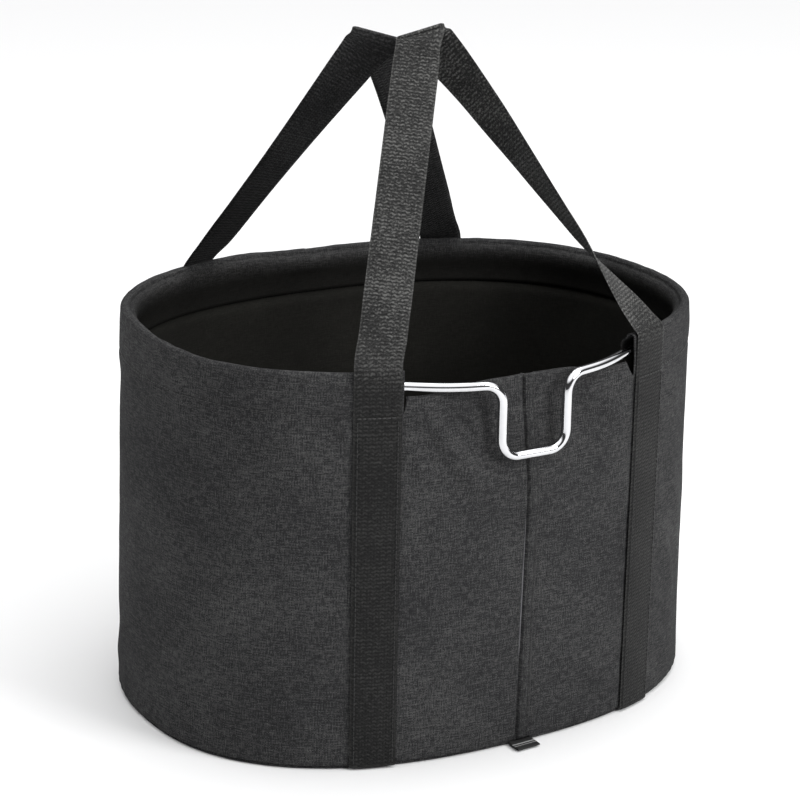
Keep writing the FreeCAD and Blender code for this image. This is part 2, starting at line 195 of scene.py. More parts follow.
def cloth_material(name, dark, light, pitch=0.8, rough=0.86, bump=0.35, sheen=0.12, heather=1.0, spec=0.25, inside=None):
    """Plain weave of warp and weft yarns with heathered yarns, from UVs in metres."""
    m = M(name, light, rough, 0.0, spec)
    vec, u, v = m.uv()
    k = math.pi / (pitch * MM)
    su = m.math("SINE", m.math("MULTIPLY", u, k))
    sv = m.math("SINE", m.math("MULTIPLY", v, k))
    prod = m.math("MULTIPLY", su, sv)
    over = m.math("ADD", m.math("MULTIPLY", prod, 2.2), 0.5, clamp=True)
    hu = m.math("ABSOLUTE", su)
    hv = m.math("ABSOLUTE", sv)
    a = m.math("MULTIPLY", hu, over)
    b = m.math("MULTIPLY", hv, m.math("SUBTRACT", 1.0, over))
    height = m.math("ADD", a, b)
    # each yarn has its own shade, that changes slowly along it
    warp = m.noise(m.combine(m.math("MULTIPLY", u, 1.0 / (pitch * MM)), m.math("MULTIPLY", v, 190.0)), 1.0, 2.0)
    weft = m.noise(m.combine(m.math("MULTIPLY", u, 190.0), m.math("MULTIPLY", v, 1.0 / (pitch * MM)), 7.3), 1.0, 2.0)
    yarn = m.math("ADD", m.math("MULTIPLY", warp, over), m.math("MULTIPLY", weft, m.math("SUBTRACT", 1.0, over)))
    fine = m.noise(vec, 900.0, 2.0, 0.6)
    broad = m.noise(vec, 14.0, 3.0, 0.55)
    mix = m.math("ADD", m.math("MULTIPLY", yarn, 0.72), m.math("MULTIPLY", fine, 0.28))
    t = m.maprange(mix, 0.5 - 0.17 / max(heather, 0.2), 0.5 + 0.17 / max(heather, 0.2), 0.0, 1.0)
    t = m.math("ADD", m.math("MULTIPLY", t, 0.8), m.math("MULTIPLY", m.maprange(broad, 0.3, 0.7, 0.0, 1.0), 0.2))
    t = m.math("MULTIPLY", t, m.maprange(height, 0.0, 1.0, 0.72, 1.0))
    col = m.ramp(t, [(0.0, tuple(c * 0.72 for c in dark)), (0.35, dark), (1.0, light)])
    if inside is not None:
        # the inner side of the hem is painted darker, from just over the crest downwards: painted shade falling into
        # the tub
        f = m.maprange(v, inside[0], inside[1], 0.0, 1.0)
        inner_hem_shade_col = m.ramp(t, [(0.0, inside[2]), (1.0, inside[3])])
        col = m.mixc(f, col, inner_hem_shade_col)
    m.link(col, m.b.inputs["Base Color"])
    r = m.maprange(m.noise(vec, 60.0, 3.0), 0.3, 0.7, rough - 0.06, min(1.0, rough + 0.05))
    m.link(r, m.b.inputs["Roughness"])
    n1 = m.bump(m.noise(vec, 220.0, 4.0, 0.6), 0.25, 0.00025)
    n2 = m.bump(height, bump, 0.00028, n1)
    m.link(n2, m.b.inputs["Normal"])
    m.b.inputs["Sheen Weight"].default_value = sheen
    m.b.inputs["Sheen Roughness"].default_value = 0.45
    m.b.inputs["Sheen Tint"].default_value = (0.8, 0.8, 0.82, 1)
    return m.mat


def webbing_material(name, dark, light, sewn=0.6, top=0.42, rough=0.66, spec=0.22):
    """Ribbed webbing: UV u runs across, v along, in metres. The sewn lengths are painted darker than the free ones, as
    painted shade.
    """
    m = M(name, light, rough, 0.0, spec)
    vec, u, v = m.uv()
    rib = m.math("ABSOLUTE", m.math("SINE", m.math("MULTIPLY", v, math.pi / (2.5 * MM))))
    # floats lean one way, then the other, in chevron columns
    tri = m.math("PINGPONG", u, 1.9 * MM)
    d = m.math("ADD", m.math("MULTIPLY", v, 1.0), m.math("MULTIPLY", tri, 0.55))
    che = m.math("ABSOLUTE", m.math("SINE", m.math("MULTIPLY", d, math.pi / (2.5 * MM))))
    colm = m.math("ABSOLUTE", m.math("SINE", m.math("MULTIPLY", u, math.pi / (1.9 * MM))))
    yarn = m.math("ABSOLUTE", m.math("SINE", m.math("MULTIPLY", m.math("ADD", u, m.math("MULTIPLY", v, 0.35)), math.pi / (0.62 * MM))))
    height = m.math("ADD", m.math("MULTIPLY", che, 0.5), m.math("ADD", m.math("MULTIPLY", rib, 0.22), m.math("ADD", m.math("MULTIPLY", colm, 0.13), m.math("MULTIPLY", yarn, 0.15))))
    n = m.noise(m.combine(m.math("MULTIPLY", u, 820.0), m.math("MULTIPLY", v, 700.0)), 1.0, 2.0, 0.55)
    n2 = m.noise(m.combine(m.math("MULTIPLY", u, 300.0), m.math("MULTIPLY", v, 620.0), 3.0), 1.0, 2.0, 0.5)
    broad = m.noise(vec, 30.0, 3.0)
    t = m.math("ADD", m.math("MULTIPLY", n, 0.42), m.math("ADD", m.math("MULTIPLY", n2, 0.38), m.math("MULTIPLY", broad, 0.2)))
    t = m.math("MULTIPLY", m.maprange(t, 0.41, 0.60, 0.04, 1.0), m.maprange(height, 0.25, 0.8, 0.16, 1.1))
    col = m.ramp(t, [(0.0, tuple(c * 0.35 for c in dark)), (0.3, dark), (1.0, light)])
    # lighter, rubbed selvedges
    sel = m.maprange(m.math("ABSOLUTE", u), 13.4 * MM, 14.3 * MM, 0.0, 0.2)
    sel = m.math("MULTIPLY", sel, m.math("LESS_THAN", m.math("ABSOLUTE", u), 16.0 * MM))
    col = m.mixc(sel, col, light)
    # painted shade: both sewn lengths are darkened to sewn times the colour, the free handle between them keeps the
    # full colour
    sewn_shade_a = m.maprange(v, 0.244, 0.280, sewn, 1.0)
    sewn_shade_b = m.maprange(v, top, top + 0.036, 1.0, sewn)
    k = m.math("MULTIPLY", sewn_shade_a, sewn_shade_b)
    col = m.mixc(1.0, col, m.combine(k, k, k), "MULTIPLY")
    m.link(col, m.b.inputs["Base Color"])
    m.link(m.maprange(n, 0.3, 0.7, rough - 0.08, rough + 0.1), m.b.inputs["Roughness"])
    m.link(m.bump(height, 0.8, 0.0006), m.b.inputs["Normal"])
    m.b.inputs["Sheen Weight"].default_value = 0.06
    m.b.inputs["Sheen Roughness"].default_value = 0.4
    return m.mat


def thread_material(name, col):
    m = M(name, col, 0.55, 0.0, 0.4)
    vec, u, v = m.uv()
    tw = m.math("ABSOLUTE", m.math("SINE", m.math("ADD", m.math("MULTIPLY", v, math.pi / (0.35 * MM)), m.math("MULTIPLY", u, 6.28))))
    n = m.noise(vec, 1200.0, 2.0)
    m.link(m.ramp(m.math("MULTIPLY", tw, m.maprange(n, 0.2, 0.8, 0.6, 1.0)), [(0.0, tuple(c * 0.4 for c in col)), (1.0, col)]), m.b.inputs["Base Color"])
    m.link(m.bump(tw, 0.6, 0.00008), m.b.inputs["Normal"])
    return m.mat


def obj_vec(m):
    t = m.n("ShaderNodeTexCoord")
    return t.outputs["Object"]


def chrome_material():
    m = M("bright_chrome", (0.66, 0.665, 0.675), 0.05, 1.0)
    vec = obj_vec(m)
    n = m.noise(vec, 90.0, 4.0, 0.6)
    n2 = m.noise(vec, 1500.0, 2.0, 0.5)
    m.link(m.maprange(n, 0.35, 0.75, 0.04, 0.11), m.b.inputs["Roughness"])
    m.link(m.ramp(n, [(0.3, (0.68, 0.685, 0.70)), (0.75, (0.58, 0.58, 0.59))]), m.b.inputs["Base Color"])
    m.link(m.bump(n2, 0.05, 0.00003), m.b.inputs["Normal"])
    return m.mat


def steel_material():
    m = M("sleeve_steel", (0.55, 0.55, 0.57), 0.32, 1.0)
    vec = obj_vec(m)
    s = m.n("ShaderNodeMapping")
    s.inputs["Scale"].default_value = (60, 3000, 3000)
    m.link(vec, s.inputs["Vector"])
    n = m.noise(s.outputs[0], 1.0, 3.0)
    m.link(m.maprange(n, 0.3, 0.7, 0.24, 0.42), m.b.inputs["Roughness"])
    m.link(m.ramp(n, [(0.3, (0.42, 0.42, 0.44)), (0.7, (0.6, 0.6, 0.62))]), m.b.inputs["Base Color"])
    m.link(m.bump(n, 0.2, 0.00005), m.b.inputs["Normal"])
    return m.mat


def foam_material():
    m = M("foam_sheet", (0.13, 0.13, 0.14), 0.95)
    vec = obj_vec(m)
    v = m.n("ShaderNodeTexVoronoi")
    v.inputs["Scale"].default_value = 1600
    m.link(vec, v.inputs["Vector"])
    m.link(m.ramp(v.outputs["Distance"], [(0.0, (0.07, 0.07, 0.075)), (0.6, (0.15, 0.15, 0.16))]), m.b.inputs["Base Color"])
    m.link(m.bump(v.outputs["Distance"], 0.5, 0.0002), m.b.inputs["Normal"])
    return m.mat


def board_material():
    m = M("base_board_plastic", (0.03, 0.03, 0.03), 0.6)
    vec = obj_vec(m)
    n = m.noise(vec, 900.0, 3.0)
    m.link(m.ramp(n, [(0.3, (0.02, 0.02, 0.02)), (0.7, (0.04, 0.04, 0.042))]), m.b.inputs["Base Color"])
    m.link(m.maprange(n, 0.3, 0.7, 0.5, 0.7), m.b.inputs["Roughness"])
    m.link(m.bump(n, 0.3, 0.0001), m.b.inputs["Normal"])
    return m.mat


def tape_material():
    m = M("binding_tape", (0.02, 0.02, 0.02), 0.85)
    vec = obj_vec(m)
    w = m.n("ShaderNodeTexWave", wave_type="BANDS", bands_direction="Z")
    w.inputs["Scale"].default_value = 320
    w.inputs["Distortion"].default_value = 1.5
    m.link(vec, w.inputs["Vector"])
    m.link(m.ramp(w.outputs["Fac"], [(0.2, (0.012, 0.012, 0.012)), (0.8, (0.03, 0.03, 0.03))]), m.b.inputs["Base Color"])
    m.link(m.bump(w.outputs["Fac"], 0.4, 0.0001), m.b.inputs["Normal"])
    return m.mat


MAT = {
    "shell": cloth_material("shell_cloth", (0.0212, 0.0212, 0.0222), (0.097, 0.097, 0.0955), pitch=0.85, sheen=0.0, heather=1.05, spec=0.08,
                            # inside= paints shade on the inner side of the hem, darker from the crest downwards
                            inside=(0.2635, 0.281, (0.0085, 0.0084, 0.0078), (0.0195, 0.019, 0.0172))),
    "lining": cloth_material("lining_cloth", (0.011, 0.0108, 0.0092), (0.027, 0.0262, 0.0225), pitch=0.7, rough=0.92, bump=0.25, sheen=0.02, heather=0.7, spec=0.15),
    # the fourth argument sets the painted shade on the sewn lengths of the webbing
    "webbing": webbing_material("ribbed_webbing", (0.013, 0.013, 0.0127), (0.108, 0.108, 0.104), 0.23, 0.7135),
    # the rear handle gets a darker copy of the same webbing: painted shade, with its sewn lengths darkened less
    "webbing_rear_shaded": webbing_material("ribbed_webbing_rear", (0.007, 0.007, 0.0075), (0.038, 0.038, 0.038), 0.8, 0.698),
    "thread": thread_material("thread", (0.026, 0.026, 0.026)),
    "thread_light": thread_material("thread_light", (0.05, 0.05, 0.049)),
    "chrome": chrome_material(),
    "steel": steel_material(),
    "foam": foam_material(),
    "board": board_material(),
    "tape": tape_material(),
}


# ------------------------------------------------------------------ mesh helpers
def mesh_object(name, verts, faces, uvs=None, mat=None, smooth=True):
    """verts in mm; uvs per vertex in metres."""
    me = bpy.data.meshes.new(name)
    me.from_pydata((np.asarray(verts) * MM).tolist(), [], [list(map(int, f)) for f in faces])
    me.update()
    if uvs is not None:
        lay = me.uv_layers.new(name="UVMap")
        idx = np.zeros(len(me.loops), np.int32)
        me.loops.foreach_get("vertex_index", idx)
        lay.data.foreach_set("uv", np.asarray(uvs, np.float32)[idx].ravel())
    if smooth:
        me.polygons.foreach_set("use_smooth", [True] * len(me.polygons))
    o = bpy.data.objects.new(name, me)
    bpy.context.scene.collection.objects.link(o)
    if mat is not None:
        me.materials.append(mat)
    return o


def apply_modifiers(o):
    dg = bpy.context.evaluated_depsgraph_get()
    me = bpy.data.meshes.new_from_object(o.evaluated_get(dg))
    o.modifiers.clear()
    old = o.data
    o.data = me
    me.name = old.name
    return o


def solidify(o, t_mm, offset=-1.0):
    md = o.modifiers.new("solid", "SOLIDIFY")
    md.thickness = t_mm * MM
    md.offset = offset
    md.use_even_offset = False
    return apply_modifiers(o)


def smoothstep(x, a, b):
    t = np.clip((x - a) / (b - a), 0, 1)
    return t * t * (3 - 2 * t)


def fbm(x, y, seed, octaves=4):
    """Smooth value noise on a plane, about -1 to 1."""
    r = np.random.RandomState(seed)
    tab = r.rand(256, 256) * 2 - 1
    out, amp, tot = 0.0, 1.0, 0.0
    for k in range(octaves):
        xx, yy = x * 2 ** k + 37.1 * k, y * 2 ** k + 11.7 * k
        xi, yi = np.floor(xx).astype(int), np.floor(yy).astype(int)
        fx, fy = xx - xi, yy - yi
        fx, fy = fx * fx * (3 - 2 * fx), fy * fy * (3 - 2 * fy)
        g = lambda i, j: tab[i % 256, j % 256]
        v = (g(xi, yi) * (1 - fx) + g(xi + 1, yi) * fx) * (1 - fy) + (g(xi, yi + 1) * (1 - fx) + g(xi + 1, yi + 1) * fx) * fy
        out = out + v * amp
        tot += amp
        amp *= 0.5
    return out / tot


def abn(z, off):
    t = np.asarray(z) / HEIGHT
    return (BASE_A + (RIM_A - BASE_A) * t - off, BASE_B + (RIM_B - BASE_B) * t - off, BASE_N + (RIM_N - BASE_N) * t)


def wall_xy(theta, off, z):
    a, b, n = abn(z, off)
    c, s = np.cos(theta), np.sin(theta)
    return np.sign(c) * np.abs(c) ** (2 / n) * a, np.sign(s) * np.abs(s) ** (2 / n) * b


def wall_y(x, off, z):
    a, b, n = abn(z, off)
    return -b * np.maximum(1e-9, 1 - (np.abs(x) / a) ** n) ** (1 / n)


def wall_normal_xy(x, y, z, off=0.0):
    """Outward horizontal normal of the wall at (x, y)."""
    a, b, n = abn(z, off)
    nx = np.sign(x) * np.abs(x / a) ** (n - 1) / a
    ny = np.sign(y) * np.abs(y / b) ** (n - 1) / b
    l = np.hypot(nx, ny)
    return nx / l, ny / l


# columns: even arc length round the wall at mid height, starting at the middle of
# the back, with one column exactly at each end of the hem tunnel
_th = np.linspace(-math.pi / 2, 1.5 * math.pi, 20001)
_x, _y = wall_xy(_th, 0, 231.0)
_s = np.concatenate([[0], np.cumsum(np.hypot(np.diff(_x), np.diff(_y)))])
PERIM = _s[-1]


def s_of_x(x):
    """Arc length from the front middle (positive towards +X) for a front wall point."""
    i = np.argmin(np.abs(_x[:5001] - abs(x)))
    return math.copysign(_s[i], x)


S_MOUTH = s_of_x(MOUTH_X)


def theta_of_s(s):
    return np.interp(np.mod(s, PERIM), _s, _th)


# ------------------------------------------------------------------ cloth relief
# Folds in the outer cloth: (s0, z0, s1, z1, height, half width); s from the
# front middle along the wall, in mm.
FOLDS = [
    (-238, 226, -140, 213, 1.5, 7.0), (-242, 243, -226, 214, 1.2, 5.5), (-232, 216, -190, 196, 0.9, 8.0),
    (-205, 240, -165, 232, 0.7, 5.0), (-178, 222, -132, 236, 0.7, 5.5), (-128, 236, -116, 214, 0.8, 4.0),
    (-76, 236, -28, 176, 1.5, 7.0), (-58, 238, -20, 205, 1.1, 5.0), (-82, 220, -62, 186, 0.9, 6.0), (-30, 232, -26, 190, -0.8, 4.5),
    (30, 236, 33, 196, 0.9, 4.5), (40, 232, 74, 205, 0.9, 6.0), (70, 240, 46, 196, -0.7, 5.0),
    (-70, 150, -18, 122, 0.8, 12.0), (-190, 140, -130, 165, 0.6, 16.0), (-215, 90, -150, 70, 0.6, 14.0),
    (-236, 42, -224, 18, 1.3, 5.0), (-228, 60, -190, 30, 0.7, 8.0), (-160, 40, -120, 14, 0.6, 8.0),
    (20, 110, 74, 60, 0.7, 12.0), (128, 118, 150, 62, 1.1, 7.0), (140, 160, 165, 96, 0.7, 8.0), (118, 226, 150, 200, 0.8, 6.0),
    (40, 50, 78, 18, 0.8, 8.0), (-60, 40, -30, 12, 0.7, 7.0), (126, 44, 160, 20, 0.7, 7.0), (14, 170, 40, 140, 0.5, 9.0),
    (200, 236, 250, 216, 0.9, 7.0), (330, 230, 400, 214, 0.8, 8.0), (-330, 232, -400, 214, 0.8, 8.0), (420, 150, 470, 90, 0.7, 12.0),
    (-420, 120, -470, 160, 0.7, 12.0), (300, 60, 350, 26, 0.8, 9.0), (-300, 50, -340, 20, 0.8, 9.0)]


def relief(s, z):
    """Outward displacement of the outer cloth, mm. s is the signed arc length from the front middle."""
    sg = np.where(s > PERIM / 2, s - PERIM, s)
    d = 0.75 * fbm(sg / 75.0 + 50, z / 60.0 + 9, 11, 3)
    d += 0.26 * fbm(sg / 17.0 + 90, z / 22.0 + 19, 12, 3)
    for s0, z0, s1, z1, h, w in FOLDS:
        ax, az = s1 - s0, z1 - z0
        L = math.hypot(ax, az)
        h = h * (1.9 if abs(s0) < 90 and z0 > 180 else 1.3)
        t = ((sg - s0) * ax + (z - z0) * az) / (L * L)
        e = ((sg - s0) * -az + (z - z0) * ax) / L
        win = smoothstep(t, -0.12, 0.22) * (1 - smoothstep(t, 0.72, 1.12))
        e = e + 2.0 * np.sin(t * 3.0 + s0)
        d += h * win * np.exp(-(e / w) ** 2)
        d -= 0.35 * h * win * np.exp(-((np.abs(e) - 1.9 * w) / (0.9 * w)) ** 2)
    # hem stitch line pulls the cloth in, with small puckers either side
    inhem = smoothstep(np.abs(sg), S_MOUTH - 2, S_MOUTH + 4)
    hz = z - (HEM_Z + 1.7)
    puck = np.sin(sg / 9.5 * 2 * math.pi + 2.2 * fbm(sg / 30.0, z * 0, 5, 2) * 3)
    d += inhem * (-0.55 * np.exp(-(hz / 1.5) ** 2) + 0.22 * puck * np.exp(-np.abs(hz) / 5.0) * (np.abs(hz) > 0))
    # bottom seam puckers
    pb = np.sin(sg / 11.0 * 2 * math.pi + 3 * fbm(sg / 25.0 + 7, z * 0, 6, 2))
    d += 0.28 * pb * np.exp(-z / 7.0)
    # the lining behind stops the cloth going in far
    d = np.where(d < -0.15, -0.15 - 0.3 * (1 - np.exp(np.minimum(d + 0.15, 0.0) / 0.3)), d)
    # sewn strap edges pull the wall in a little
    for sx in (-1, 1):
        for xe in (STRAP_X0, STRAP_X1):
            se = s_of_x(sx * xe)
            d -= 0.3 * np.exp(-((sg - se) / 2.0) ** 2) * (z < 229)
            sb = PERIM / 2
    return d


SEAM_PTS = np.array([(0, 0.0), (60, 0.6), (120, 1.4), (165, 2.0), (200, 0.2), (256, -0.6)])


def seam_x(z):
    return np.interp(z, SEAM_PTS[:, 0], SEAM_PTS[:, 1])


def seam_relief(s, z):
    """Flat-felled seam on the front: a groove, then a raised band with two stitched grooves."""
    q = s - seam_x(z)
    top = smoothstep(q, -0.2, 0.5) * (1 - smoothstep(q, 6.6, 7.6))
    d = 1.0 * top
    d -= 1.5 * np.exp(-((q + 0.75) / 0.62) ** 2)
    d -= 0.4 * np.exp(-((q - 1.9) / 0.6) ** 2) + 0.4 * np.exp(-((q - 5.7) / 0.6) ** 2)
    d -= 0.3 * np.exp(-((q - 8.0) / 0.8) ** 2)
    d += 0.10 * np.sin(z / 3.2 * 2 * math.pi) * top
    return d


def dish_off(s, z):
    """How far the front panel is drawn in at its top (offset inwards, mm)."""
    sg = np.abs(s)
    u = 0.5 + 0.5 * np.cos(np.clip(sg / 90.0, 0, 1) * math.pi)
    return DISH * u * smoothstep(z, DISH_Z0, PANEL_TOP)


def panel_z(s):
    """Height of the front panel's top edge: a little lower away from the hanging loop."""
    t = np.clip((np.abs(s) - 34.0) / 20.0, 0, 1)
    return PANEL_TOP + (PANEL_END - PANEL_TOP) * (0.5 - 0.5 * np.cos(math.pi * t))


def shell_points(s, z, off, k_relief=1.0):
    th = theta_of_s(s)
    sg = np.where(np.mod(s, PERIM) > PERIM / 2, np.mod(s, PERIM) - PERIM, np.mod(s, PERIM))
    o = off + dish_off(sg, z)
    x, y = wall_xy(th, o, z)
    nx, ny = wall_normal_xy(x, y, z, o)
    d = relief(sg, z) * k_relief
    return np.stack([x + nx * d, y + ny * d, z + 0 * x], -1), sg


# ------------------------------------------------------------------ outer wall cloth with the rolled rim hem
def build_wall():
    step = 2.0
    sx = seam_x(np.arange(0.0, 246.0, 2.0))
    lo_, hi_ = float(sx.min()) - 2.6, float(sx.max()) + 9.6
    front = np.concatenate([np.linspace(-S_MOUTH, lo_, int((lo_ + S_MOUTH) / 1.4) + 1)[:-1], np.linspace(lo_, hi_, int((hi_ - lo_) / 0.45) + 1)[:-1],
                            np.linspace(hi_, S_MOUTH, int((S_MOUTH - hi_) / 1.4) + 1)])
    n_front = len(front) - 1
    n_rest = int(round((PERIM - 2 * S_MOUTH) / step))
    rest = np.linspace(S_MOUTH, PERIM - S_MOUTH, n_rest + 1)
    cols = np.concatenate([front, rest[1:-1]])            # S_MOUTH is front[-1], -S_MOUTH is front[0]
    nc = len(cols)
    low = [(1.9, 1.6), (0.9, 2.0), (0.25, 2.9), (0.0, 4.2)] + [(0.0, z) for z in np.arange(6.0, 230.9, 1.8)] + [(0.0, 231.2)]
    verts, uvs = [], []
    index = {}

    def add(p, uv):
        verts.append(p)
        uvs.append(uv)
        return len(verts) - 1

    def column_points(s_arr, off_arr, z_arr, seam=True, v0=None, kr=1.0):
        P, sg = shell_points(s_arr, z_arr, off_arr, kr)
        if seam:
            th = theta_of_s(s_arr)
            nx, ny = wall_normal_xy(P[:, 0], P[:, 1], z_arr)
            near = np.abs(sg) < 14
            d = np.where(near, seam_relief(sg, z_arr), 0) * smoothstep(z_arr, 1.5, 5)
            P[:, 0] += nx * d
            P[:, 1] += ny * d
        return P

    faces = []
    grid = np.zeros((len(low), nc), int)
    for r, (o, z) in enumerate(low):
        zz = np.full(nc, z)
        P = column_points(cols, np.full(nc, o), zz)
        for c in range(nc):
            grid[r, c] = add(P[c], (cols[c] * MM, z * MM))
    for r in range(len(low) - 1):
        for c in range(nc):
            c2 = (c + 1) % nc
            faces.append((grid[r, c], grid[r, c2], grid[r + 1, c2], grid[r + 1, c]))
    R1 = len(low) - 1
    # front panel above the hem line: its free sides lean inwards from the tunnel ends
    nf = n_front + 1
    prev = grid[R1, :nf]
    sF = front
    rows = 8
    last = None
    for k in range(1, rows + 1):
        t = k / rows
        s_here = sF * (1 - (np.where(sF < 0, 1.8, 6.4) / S_MOUTH) * t ** 0.8)
        top = panel_z(s_here)
        z = 231.2 + (top - 231.2) * t
        P = column_points(s_here, np.zeros(nf), z)
        cur = np.array([add(P[c], (s_here[c] * MM, z[c] * MM)) for c in range(nf)])
        for c in range(nf - 1):
            faces.append((prev[c], prev[c + 1], cur[c + 1], cur[c]))
        prev = cur
        last = P
    # folded edge: a second ply laid over the outside of the top, round the edge and down inside
    nx, ny = wall_normal_xy(last[:, 0], last[:, 1], top)
    soft = 0.35 * fbm(sF / 13.0 + 40, sF * 0 + 2, 61, 3)
    for k, (din, dz) in enumerate([(0.35, 0.75), (1.2, 1.25), (2.1, 1.1), (2.8, 0.4), (3.0, -0.8), (3.0, -2.6), (2.9, -5.0)]):
        P = last.copy()
        P[:, 0] -= nx * din
        P[:, 1] -= ny * din
        P[:, 2] += dz + soft * min(1.0, 0.35 * (k + 1))
        cur = np.array([add(P[c], (s_here[c] * MM, (top[c] + 1 + k * 1.2) * MM)) for c in range(nf)])
        for c in range(nf - 1):
            faces.append((prev[c], prev[c + 1], cur[c + 1], cur[c]))
        prev = cur
    # hem: columns from +mouth round the back to -mouth
    hc = np.concatenate([[S_MOUTH], rest[1:-1], [PERIM - S_MOUTH]])
    hidx = np.concatenate([[nf - 1], np.arange(nf, nc), [0]])
    prev = grid[R1, hidx]
    prof = [(0.0, z) for z in np.arange(233.0, 255.0, 1.75)]
    cr, czr = 3.1, 256.6                       # crest radius and the height of its centre
    prof += [(cr - cr * math.cos(math.pi * k / 12), czr + cr * math.sin(math.pi * k / 12)) for k in range(0, 13)]
    prof += [(7.3, 256.0), (8.6, 255.0), (9.6, 253.6), (10.1, 251.8), (10.15, 249.9), (9.9, 248.0), (9.4, 246.0), (8.8, 244.0), (8.1, 241.8),
             (7.4, 239.4), (6.8, 237.0), (6.4, 234.4), (6.1, 231.8), (6.0, 229.2)]
    nh = len(hc)
    sgh = np.where(hc > PERIM / 2, hc - PERIM, hc)
    sleeve = 0.9 * np.exp(-(np.abs(np.abs(sgh) - PERIM / 2) / 21.0) ** 4)
    v = 231.2
    lastP = None
    # soft waviness of the loose rolled crest, lower along the front on the left
    wav = 0.4 * fbm(sgh / 42.0 + 3, sgh * 0 + 4, 21, 3)
    wavz = 0.5 * fbm(sgh / 55.0 + 31, sgh * 0 + 8, 22, 3) + 0.22 * fbm(sgh / 9.0 + 5, sgh * 0 + 1, 24, 2)
    sag = -2.2 * (smoothstep(sgh, -262, -205) * (sgh < 0)) - 1.2 * ((sgh > 0) * (1 - smoothstep(sgh, 90, 170)))
    sag = sag + 2.6 * ((sgh < 0) * (1 - smoothstep(sgh, -300, -262)) * smoothstep(sgh, -PERIM / 2 + 2, -PERIM / 2 + 60))
    for q_i, (oo, q) in enumerate(prof):
        up = smoothstep(q, 238, 256)
        inner = q_i > 26
        bulge = 0.6 * math.sin(math.pi * min(1, max(0, (q - 231) / 24.0))) if not inner else 0.0
        off = oo - bulge - wav * (smoothstep(q, 232, 250) if not inner else 0.0)
        z = np.full(nh, q) + (wavz + sag) * up
        if inner:
            off = off + 0.45 * np.abs(fbm(sgh / 26.0 + 60, sgh * 0 + q / 16.0, 23, 3)) * smoothstep(257 - q, 2, 9) + sleeve * (smoothstep(q, 243, 247))
        kr = 1.0 if q < 254 and not inner else 0.5 if not inner else 0.0
        th = theta_of_s(hc)
        x, y = wall_xy(th, off, z)
        nx, ny = wall_normal_xy(x, y, z)
        d = relief(sgh, z) * kr
        P = np.stack([x + nx * d, y + ny * d, z + 0 * x], -1)
        v += 1.8 if lastP is None else float(np.median(np.linalg.norm(P - lastP, axis=1)))
        lastP = P
        cur = np.array([add(P[c], (hc[c] * MM, v * MM)) for c in range(nh)])
        for c in range(nh - 1):
            faces.append((prev[c], prev[c + 1], cur[c + 1], cur[c]))
        prev = cur
    o = mesh_object("outer_wall_cloth", verts, faces, uvs, MAT["shell"])
    solidify(o, 0.9, -1.0)
    for p in o.data.polygons:
        p.use_smooth = True
    return o


wall = build_wall()
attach(wall, "bag")
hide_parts("outer_shell", "hem_tunnel", "front_edge_hem", "centre_seam_fell", "front_facing")


# ------------------------------------------------------------------ lining, base
def build_ring_sheet(name, rows, step, mat, relief_fn=None, t_mm=0.6):
    n = int(round(PERIM / step))
    cols = np.linspace(0, PERIM, n, endpoint=False)
    verts, uvs, faces = [], [], []
    for r, (o, z) in enumerate(rows):
        th = theta_of_s(cols)
        sg = np.where(cols > PERIM / 2, cols - PERIM, cols)
        off = o + (dish_off(sg, np.full(n, z)) if z > 60 else 0)
        x, y = wall_xy(th, off, np.full(n, z))
        nx, ny = wall_normal_xy(x, y, np.full(n, z))
        d = relief_fn(sg, z) if relief_fn else 0
        for c in range(n):
            dd = d[c] if relief_fn else 0
            verts.append((x[c] + nx[c] * dd, y[c] + ny[c] * dd, z))
            uvs.append((cols[c] * MM, z * MM))
    for r in range(len(rows) - 1):
        for c in range(n):
            c2 = (c + 1) % n
            faces.append((r * n + c, (r + 1) * n + c, (r + 1) * n + c2, r * n + c2))
    o = mesh_object(name, verts, faces, uvs, mat)
    return o


def lining_relief(s, z):
    d = -0.55 - 0.5 * fbm(s / 60.0 + 5, s * 0 + z / 70.0, 41, 3) - 0.14 * fbm(s / 14.0 + 8, s * 0 + z / 30.0, 42, 2)
    d = d - 0.25 * np.sin(s / 10.0 * 2 * math.pi) * math.exp(-max(0.0, z - 6) / 8.0)
    return np.minimum(d, -0.05)


lining = build_ring_sheet("inner_lining", [(4.2, z) for z in [5.6, 7, 9, 12, 16] + list(np.arange(22, 226, 6.0)) + [228.5]], 4.0, MAT["lining"], lining_relief)
solidify(lining, 0.4, 0.0)
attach(lining, "bag")
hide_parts("lining_wall")


def build_disc(name, off, z0, amp, mat, t_mm, seed, flip=False, edge=None):
    rings = np.concatenate([[0.0], np.linspace(0.05, 1.0, 40)])
    n = 220
    cols = np.linspace(0, PERIM, n, endpoint=False)
    th = theta_of_s(cols)
    bx, by = wall_xy(th, off, np.full(n, max(z0, 0.0)))
    verts, uvs, faces = [(0, 0, z0)], [(0, 0)], []
    for k, r in enumerate(rings[1:]):
        x, y = bx * r, by * r
        dz = amp * fbm(x / 55.0 + 70, y / 55.0 + 70, seed, 3) * (1 - r ** 6)
        if edge is not None:
            dz = dz + edge * smoothstep(r, 0.985, 1.0)
        for c in range(n):
            verts.append((x[c], y[c], z0 + (dz[c] if np.ndim(dz) else dz)))
            uvs.append((x[c] * MM, y[c] * MM))
    for c in range(n):
        faces.append((0, 1 + c, 1 + (c + 1) % n))
    for k in range(len(rings) - 2):
        a, b = 1 + k * n, 1 + (k + 1) * n
        for c in range(n):
            c2 = (c + 1) % n
            faces.append((a + c, b + c, b + c2, a + c2))
    o = mesh_object(name, verts, faces, uvs, mat)
    return o


floor_lining = build_disc("floor_lining", 5.0, 5.6, 0.5, MAT["lining"], 0.5, 51)
solidify(floor_lining, 0.5, -1.0)
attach(floor_lining, "bag")
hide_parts("base_lining")

